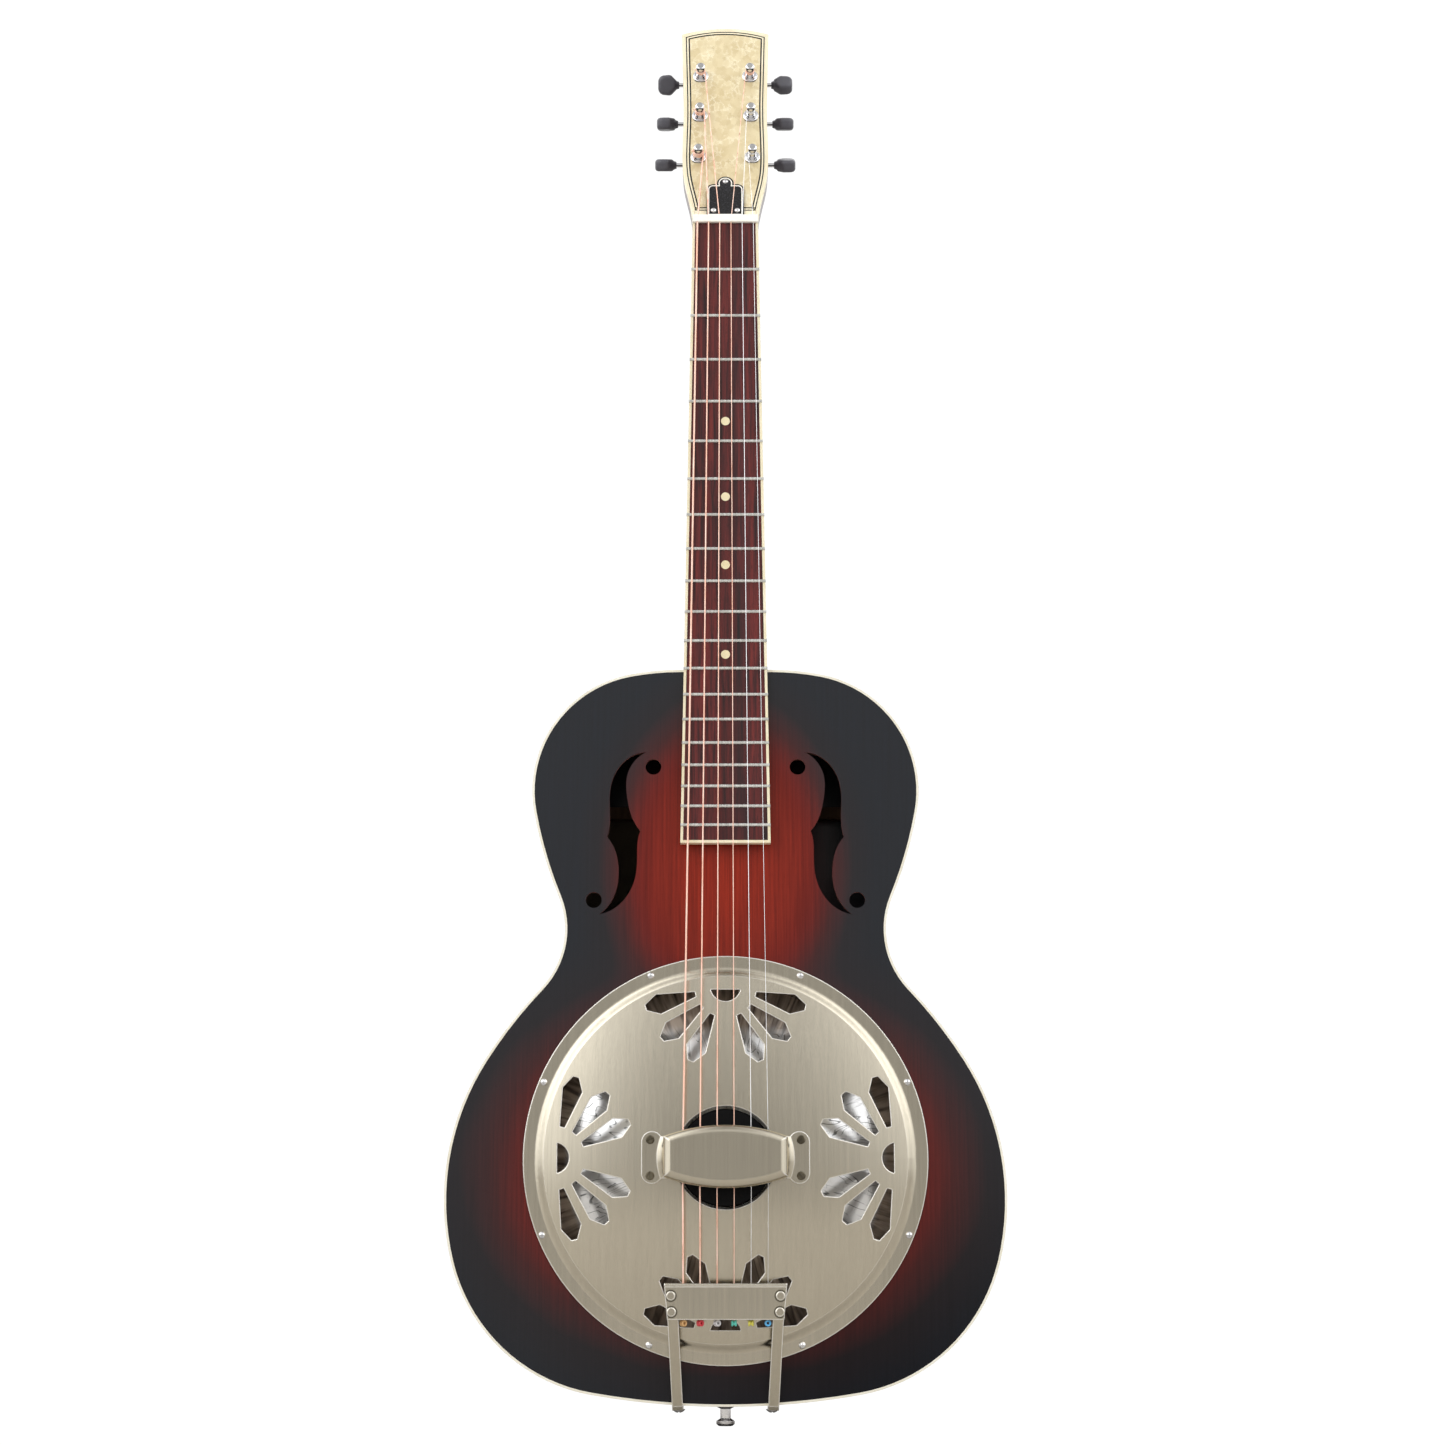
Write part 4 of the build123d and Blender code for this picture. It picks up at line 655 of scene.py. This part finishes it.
def coil(number, diameter, nut_mark):
    """Turns of a string round its post: from the tangent point of the free string up to the post's eye."""
    side = 1 if number <= 3 else -1
    radius = WAIST_RADIUS + COIL_GAP + diameter / 2
    top = post_axis(number) + HEAD_BACK * EYE_FROM_JOINT
    depth = TURNS[number] * diameter * 1.04
    low = top + HEAD_BACK * depth
    towards = nut_mark - low
    flat = Vector((towards.dot(ACROSS), towards.dot(HEAD_UP)))
    reach = math.acos(radius / flat.length)
    start = math.atan2(flat.y, flat.x) - side * reach
    points = []
    steps = 28 * TURNS[number]
    for step in range(steps + 1):
        share = step / steps
        angle = start - side * 2 * math.pi * TURNS[number] * share
        out = ACROSS * math.cos(angle) + HEAD_UP * math.sin(angle)
        points.append(low - HEAD_BACK * depth * share + out * radius)
    return points


def wound(diameter, pitch):
    """Radius of a wound string: one ridge of winding wire runs round it like a screw thread."""
    deep = diameter * 0.06

    def radius_at(along, angle):
        phase = 2 * math.pi * along / pitch - angle
        return diameter / 2 - deep * (0.5 - 0.5 * math.cos(phase))

    return radius_at


def build_string(number, points):
    marks, diameter = string_marks(points)
    tail, saddle, nut = marks
    turns = coil(number, diameter, nut)
    bronze = number > 2
    material = MATERIALS["bronze_string" if bronze else "plain_string"]
    slot = "bronze_string" if bronze else "plain_string"
    pitch = 0.45 * MM
    step = pitch / 4 if bronze else 12 * MM
    path = spread(tail, saddle, step) + spread(saddle, nut, step) + spread(nut, turns[0], step)
    radius_at = wound(diameter, pitch) if bronze else lambda along, angle: diameter / 2
    shape = tube(path + turns, radius_at, 8 if bronze else 10)
    return add_piece(f"string_{number}", *shape, material, GUITAR, slot)


def string_end(number, diameter):
    """Cut end that comes out of the post's eye; it turns with the post."""
    side = 1 if number <= 3 else -1
    eye = post_axis(number) + HEAD_BACK * (EYE_FROM_JOINT - 0.3 * MM)
    path = []
    for step in range(9):
        share = step / 8
        out = ACROSS * side * (1.2 + 3.4 * share) * MM
        path.append(eye + out + HEAD_BACK * (0.9 * share * share) * MM)
    bronze = number > 2
    material = MATERIALS["bronze_string" if bronze else "plain_string"]
    slot = "bronze_string" if bronze else "plain_string"
    shape = tube(path, lambda along, angle: diameter / 2 * 0.96, 10)
    return add_piece(f"string_end_{number}", *shape, material, f"tuner_{number}_post", slot)


SOLIDS = string_solids()
for count, solid in enumerate(SOLIDS, start=1):
    free = build_string(count, solid)
    if count == 1:
        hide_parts("plain_strings")
    if count == 3:
        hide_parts("wound_strings")
    string_end(count, string_marks(solid)[1])


# ---- Ball ends: little spools with two flanges and a waist ----

BALL_COLOURS = {
    1: srgb(92, 182, 236),
    2: srgb(226, 218, 96),
    3: srgb(96, 208, 190),
    4: srgb(214, 212, 214),
    5: srgb(222, 62, 74),
    6: srgb(224, 178, 118),
}
BALL_TURNS = {1: 4, 2: 86, 3: 88, 4: 36, 5: 42, 6: 38}
BALL_RADIUS = 2.1 * MM
BALL_HALF = 1.75 * MM
BALL_HOLE = 0.85 * MM


FLANGE_HALF = 0.62 * MM
SPOOL_WAIST = 0.75 * MM
SPOOL_INSET = 0.3 * MM


def ball_profile():
    """Closed section of a spool as (radius, place along its axis)."""
    section = []
    for side in (-1, 1):
        flange_middle = side * (BALL_HALF - FLANGE_HALF)
        for step in range(9):
            angle = math.pi * (1 - step / 8)
            radius = BALL_RADIUS - FLANGE_HALF + FLANGE_HALF * math.sin(angle)
            section.append((radius, flange_middle + FLANGE_HALF * math.cos(angle)))
        if side < 0:
            section.append((BALL_RADIUS - SPOOL_WAIST, 0.0))
    for place in (BALL_HALF - SPOOL_INSET, 0.0, -BALL_HALF + SPOOL_INSET):
        section.append((BALL_HOLE, place))
    return section


def ball_end(number, at):
    section = ball_profile()
    around = 36
    yaw = math.radians(BALL_TURNS[number])
    axis = Vector((math.sin(yaw), -math.cos(yaw), 0))
    first = axis.orthogonal().normalized()
    second = axis.cross(first)
    points = []
    faces = []
    for step in range(around):
        angle = 2 * math.pi * step / around
        out = first * math.cos(angle) + second * math.sin(angle)
        for radius, place in section:
            points.append(at + out * radius + axis * place)
    size = len(section)
    for step in range(around):
        here = step * size
        beside = (step + 1) % around * size
        for index in range(size):
            after = (index + 1) % size
            faces.append((here + index, here + after, beside + after, beside + index))
    material = enamel(f"ball_enamel_{number}", BALL_COLOURS[number])
    return add_piece(f"ball_end_{number}", points, faces, material, GUITAR, "ball_end")


BALL_LOW, BALL_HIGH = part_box("string_ball_ends")
BALL_PLACE = Vector((0, (BALL_LOW.y + BALL_HIGH.y) / 2, BALL_LOW.z + BALL_RADIUS))
for count, solid in enumerate(SOLIDS, start=1):
    centre = string_marks(solid)[0][0]
    ball = ball_end(count, Vector((centre.x, BALL_PLACE.y, BALL_PLACE.z)))
    if count == 1:
        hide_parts("string_ball_ends")


# ---- Inlaid lines on the headstock and on the truss rod cover ----


def front_loop(node_name):
    """Outline of a node's front face in the headstock's plane, and the face's height.

    The outline is (across, up) pairs.
    """
    mesh = frame["nodes"][node_name].data
    facing = [polygon for polygon in mesh.polygons if polygon.normal.dot(HEAD_FRONT) > 0.99]
    height = max(polygon.center.dot(HEAD_FRONT) for polygon in facing)
    facing = [polygon for polygon in facing if polygon.center.dot(HEAD_FRONT) > height - 0.05 * MM]
    uses = {}
    for polygon in facing:
        for pair in polygon.edge_keys:
            uses[pair] = uses.get(pair, 0) + 1
    following = {}
    for first, second in (pair for pair, count in uses.items() if count == 1):
        following.setdefault(first, []).append(second)
        following.setdefault(second, []).append(first)
    loops = []
    while following:
        start = next(iter(following))
        loop = [start]
        here = start
        while following.get(here):
            after = following[here].pop()
            following[after].remove(here)
            if after == start:
                break
            loop.append(after)
            here = after
        for index in list(following):
            if not following[index]:
                del following[index]
        loops.append(loop)

    def flat(index):
        point = mesh.vertices[index].co
        return Vector((point.dot(ACROSS), point.dot(HEAD_UP)))

    outlines = [[flat(index) for index in loop] for loop in loops if len(loop) > 2]
    longest = max(outlines, key=lambda loop: max(p.y for p in loop) - min(p.y for p in loop))
    return longest, height


def area_of(loop):
    return sum(a.x * b.y - b.x * a.y for a, b in zip(loop, loop[1:] + loop[:1])) / 2


def tidy_loop(loop, shortest=0.15 * MM):
    kept = []
    for point in loop:
        if not kept or (point - kept[-1]).length > shortest:
            kept.append(point)
    if (kept[0] - kept[-1]).length < shortest:
        kept.pop()
    return kept if area_of(kept) > 0 else kept[::-1]


def inset(loop, distance):
    """The loop moved inwards by a distance; the loop runs anticlockwise."""
    moved = []
    for before, here, after in zip(loop[-1:] + loop[:-1], loop, loop[1:] + loop[:1]):
        first = (here - before).normalized()
        second = (after - here).normalized()
        inward = Vector((-first.y - second.y, first.x + second.x))
        inward.normalize()
        spreading = max(0.45, inward.dot(Vector((-first.y, first.x))))
        moved.append(here + inward * (distance / spreading))
    return moved


def line_ring(name, outer, inner, height, material, slot):
    """Thin inlaid line between two loops of equally many points, standing a hair proud of the face."""
    sunk = -0.05 * MM
    proud = 0.06 * MM

    def lifted(point, up):
        return ACROSS * point.x + HEAD_UP * point.y + HEAD_FRONT * (height + up)

    size = len(outer)
    rows = [(outer, sunk), (outer, proud), (inner, proud), (inner, sunk)]
    points = [lifted(point, up) for line, up in rows for point in line]
    faces = []
    for row in range(4):
        beside_row = (row + 1) % 4
        for index in range(size):
            after = (index + 1) % size
            near, far = row * size, beside_row * size
            faces.append((near + index, near + after, far + after, far + index))
    return add_piece(name, points, faces, material, GUITAR, slot, smooth=False)


FACE_FOOT = 9.7 * MM
HEAD_START_TO_POST = 56.7 * MM
HEAD_START = post_axis(1).dot(HEAD_UP) - HEAD_START_TO_POST
face_loop, face_height = front_loop("headstock_veneer")
notch_top = min(point.y for point in face_loop) + 28 * MM
face_loop = [point for point in face_loop if abs(point.x) > 6 * MM or point.y > notch_top]
face_loop = tidy_loop(face_loop)
line_loop = [Vector((point.x, max(point.y, HEAD_START + FACE_FOOT))) for point in face_loop]
LINE_EDGES = (0.9 * MM, 1.7 * MM, 2.8 * MM, 3.8 * MM)
FACE_RINGS = (
    ("face_rim", "neck_cream", "cream_binding"),
    ("face_line_outer", "black_gloss", "black_plastic"),
    ("face_line_cream", "neck_cream", "cream_binding"),
    ("face_line_inner", "black_gloss", "black_plastic"),
)
line_loops = [face_loop] + [inset(line_loop, distance) for distance in LINE_EDGES]
for (ring_name, ring_look, ring_slot), outer_loop, inner_loop in zip(FACE_RINGS, line_loops, line_loops[1:]):
    line_ring(ring_name, outer_loop, inner_loop, face_height, MATERIALS[ring_look], ring_slot)
bell_loop, bell_height = front_loop("truss_rod_cover")
bell_loop = tidy_loop(bell_loop)
bell_outer = inset(bell_loop, 1.0 * MM)
bell_inner = inset(bell_loop, 1.8 * MM)
line_ring("rod_cover_line", bell_outer, bell_inner, bell_height, MATERIALS["bone"], "cream_binding")


# ---- Paper label on the inside of the back, behind the bass side's opening ----


LABEL_LEFT, LABEL_FOOT = -100, 171
LABEL_WIDTH, LABEL_HEIGHT = 56, 66


def label():
    """Sheet just in front of the back's inner face, rippled on the side that shows; sizes in millimetres."""
    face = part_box("back")[0].y
    columns, rows = 12, 16
    points = []
    faces = []
    for level in (0.25 * MM, 0.02 * MM):
        for row in range(rows + 1):
            for column in range(columns + 1):
                x = (LABEL_LEFT + LABEL_WIDTH * column / columns) * MM
                z = (LABEL_FOOT + LABEL_HEIGHT * row / rows) * MM
                ripple = noise.noise(Vector((x * 60, 0, z * 60))) * 0.08 * MM if level > 0.1 * MM else 0.0
                points.append((x, face - level - ripple, z))
    across = columns + 1
    sheet = across * (rows + 1)
    for row in range(rows):
        for column in range(columns):
            low = row * across + column
            quad = (low, low + 1, low + across + 1, low + across)
            faces.append(quad)
            faces.append(tuple(sheet + index for index in reversed(quad)))
    rim = list(range(columns))
    rim += [row * across + columns for row in range(rows)]
    rim += [rows * across + column for column in range(columns, 0, -1)]
    rim += [row * across for row in range(rows, 0, -1)]
    for first, second in zip(rim, rim[1:] + rim[:1]):
        faces.append((first, sheet + first, sheet + second, second))
    return add_piece("paper_label", points, faces, MATERIALS["paper"], GUITAR, "cream_binding")


label()


# ---- Studio: floor, world, lights and camera ----

CAMERA_PLACE = Vector((-1.97, -1914.4, -72.9)) * MM
CAMERA_PITCH = 11.08
LENS = 70.14


def floor():
    level = cad_box[0].z - 0.001
    half = 12.0
    mesh = bpy.data.meshes.new("floor")
    corners = [(-half, -half, level), (half, -half, level), (half, half, level), (-half, half, level)]
    mesh.from_pydata(corners, [], [(0, 1, 2, 3)])
    graph = Graph("floor_paper")
    mottle = graph.noise(graph.stretched(3, 3, 3), 1.0, 3.0)
    graph.set(Base_Color=graph.mix(mottle, srgb(200, 196, 190), srgb(208, 204, 198)), Roughness=0.9)
    graph.set(Specular_IOR_Level=0.0)
    glow = graph.node("ShaderNodeEmission")
    graph.put(glow.inputs["Color"], (1.0, 1.0, 1.0, 1.0))
    graph.put(glow.inputs["Strength"], 1.05)
    seen = graph.node("ShaderNodeMixShader")
    graph.put(seen.inputs[0], graph.node("ShaderNodeLightPath").outputs["Is Camera Ray"])
    graph.put(seen.inputs[1], graph.shader.outputs[0])
    graph.put(seen.inputs[2], glow.outputs[0])
    graph.put(graph.tree.nodes["Material Output"].inputs["Surface"], seen.outputs[0])
    mesh.materials.append(graph.material)
    made = bpy.data.objects.new("floor", mesh)
    bpy.context.scene.collection.objects.link(made)
    return made


# Brightness of what shiny surfaces see, by degrees round from straight in front (negative to the bass
# side), and its share by height, which runs from -1 below to 1 above.
AROUND = (
    (-140, 1.0), (-95, 1.1), (-70, 1.4), (-50, 1.5), (-24, 1.55), (-21, 1.4), (-17.5, 0.97), (-14, 0.69),
    (-10, 0.49), (-4, 0.43), (0, 0.41), (4, 0.42), (10, 0.5), (15.6, 0.6), (20.5, 0.95),
    (26, 1.2), (46, 1.3), (70, 1.2), (95, 1.0), (140, 1.0),
)
OVER = (
    (-1.0, 0.5), (-0.34, 0.6), (-0.2, 0.8), (-0.1, 0.95), (-0.03, 0.92), (0.04, 1.0), (0.1, 1.1), (0.2, 1.3),
    (0.34, 1.7), (0.6, 1.8), (0.8, 1.2), (1.0, 0.6),
)


def studio_world():
    """White behind the object; what shiny surfaces see is dim in front and bright to both sides and above."""
    world = bpy.data.worlds.new("studio")
    world.use_nodes = True
    bpy.context.scene.world = world
    graph = Graph.__new__(Graph)
    graph.tree = world.node_tree
    background = world.node_tree.nodes["Background"]
    output = world.node_tree.nodes["World Output"]
    split = graph.node("ShaderNodeSeparateXYZ")
    graph.put(split.inputs[0], graph.node("ShaderNodeTexCoord").outputs["Generated"])
    x, y, z = split.outputs
    azimuth = graph.math("ARCTAN2", x, graph.math("MULTIPLY", y, -1.0))
    around = [(0.5 + degrees / 360, (level / 2, level / 2, level / 2, 1.0)) for degrees, level in AROUND]
    over = [(0.5 + height / 2, (level / 2, level / 2, level / 2, 1.0)) for height, level in OVER]
    turn = graph.math("ADD", graph.math("DIVIDE", azimuth, 2 * math.pi), 0.5)
    rise = graph.math("ADD", graph.math("MULTIPLY", z, 0.5), 0.5)
    level = graph.math("MULTIPLY", graph.ramp(turn, *around), graph.ramp(rise, *over))
    level = graph.math("MULTIPLY", level, 4.0)
    tint = graph.mix(graph.span(level, 0.3, 1.0), (1.0, 0.985, 0.95, 1.0), (1.0, 1.0, 1.0, 1.0))
    shine = graph.node("ShaderNodeBackground")
    graph.put(shine.inputs["Color"], tint)
    graph.put(shine.inputs["Strength"], level)
    plain = graph.node("ShaderNodeBackground")
    graph.put(plain.inputs["Color"], (1.0, 1.0, 1.0, 1.0))
    graph.put(plain.inputs["Strength"], 0.75)
    graph.put(background.inputs["Color"], (1.0, 1.0, 1.0, 1.0))
    graph.put(background.inputs["Strength"], 1.05)
    path = graph.node("ShaderNodeLightPath")
    inner = graph.node("ShaderNodeMixShader")
    graph.put(inner.inputs[0], path.outputs["Is Glossy Ray"])
    graph.put(inner.inputs[1], plain.outputs[0])
    graph.put(inner.inputs[2], shine.outputs[0])
    outer = graph.node("ShaderNodeMixShader")
    graph.put(outer.inputs[0], path.outputs["Is Camera Ray"])
    graph.put(outer.inputs[1], inner.outputs[0])
    graph.put(outer.inputs[2], background.outputs[0])
    graph.put(output.inputs["Surface"], outer.outputs[0])


def softbox(name, place, target, size, power, glossy):
    light = bpy.data.lights.new(name, "AREA")
    light.shape = "RECTANGLE"
    light.size, light.size_y = size
    light.energy = power
    made = bpy.data.objects.new(name, light)
    made.location = place
    made.rotation_mode = "QUATERNION"
    made.rotation_quaternion = (Vector(target) - Vector(place)).to_track_quat("-Z", "Y")
    made.visible_glossy = glossy
    bpy.context.scene.collection.objects.link(made)


def camera():
    lens = bpy.data.cameras.new("camera")
    lens.lens = LENS
    lens.sensor_width = 36.0
    lens.clip_start = 0.05
    made = bpy.data.objects.new("camera", lens)
    made.location = CAMERA_PLACE
    made.rotation_euler = (math.radians(90 + CAMERA_PITCH), 0, 0)
    bpy.context.scene.collection.objects.link(made)
    bpy.context.scene.camera = made


floor()
studio_world()
softbox("key", (-1.6, -2.2, 1.3), (0, 0, 0.2), (1.6, 2.2), 26.0, False)
softbox("fill", (1.8, -2.0, 0.9), (0, 0, 0.2), (1.4, 2.0), 14.0, False)
softbox("top", (0, -0.6, 2.6), (0, 0, 0.2), (2.0, 1.2), 16.0, False)
camera()
bpy.context.scene.view_settings.view_transform = "Standard"
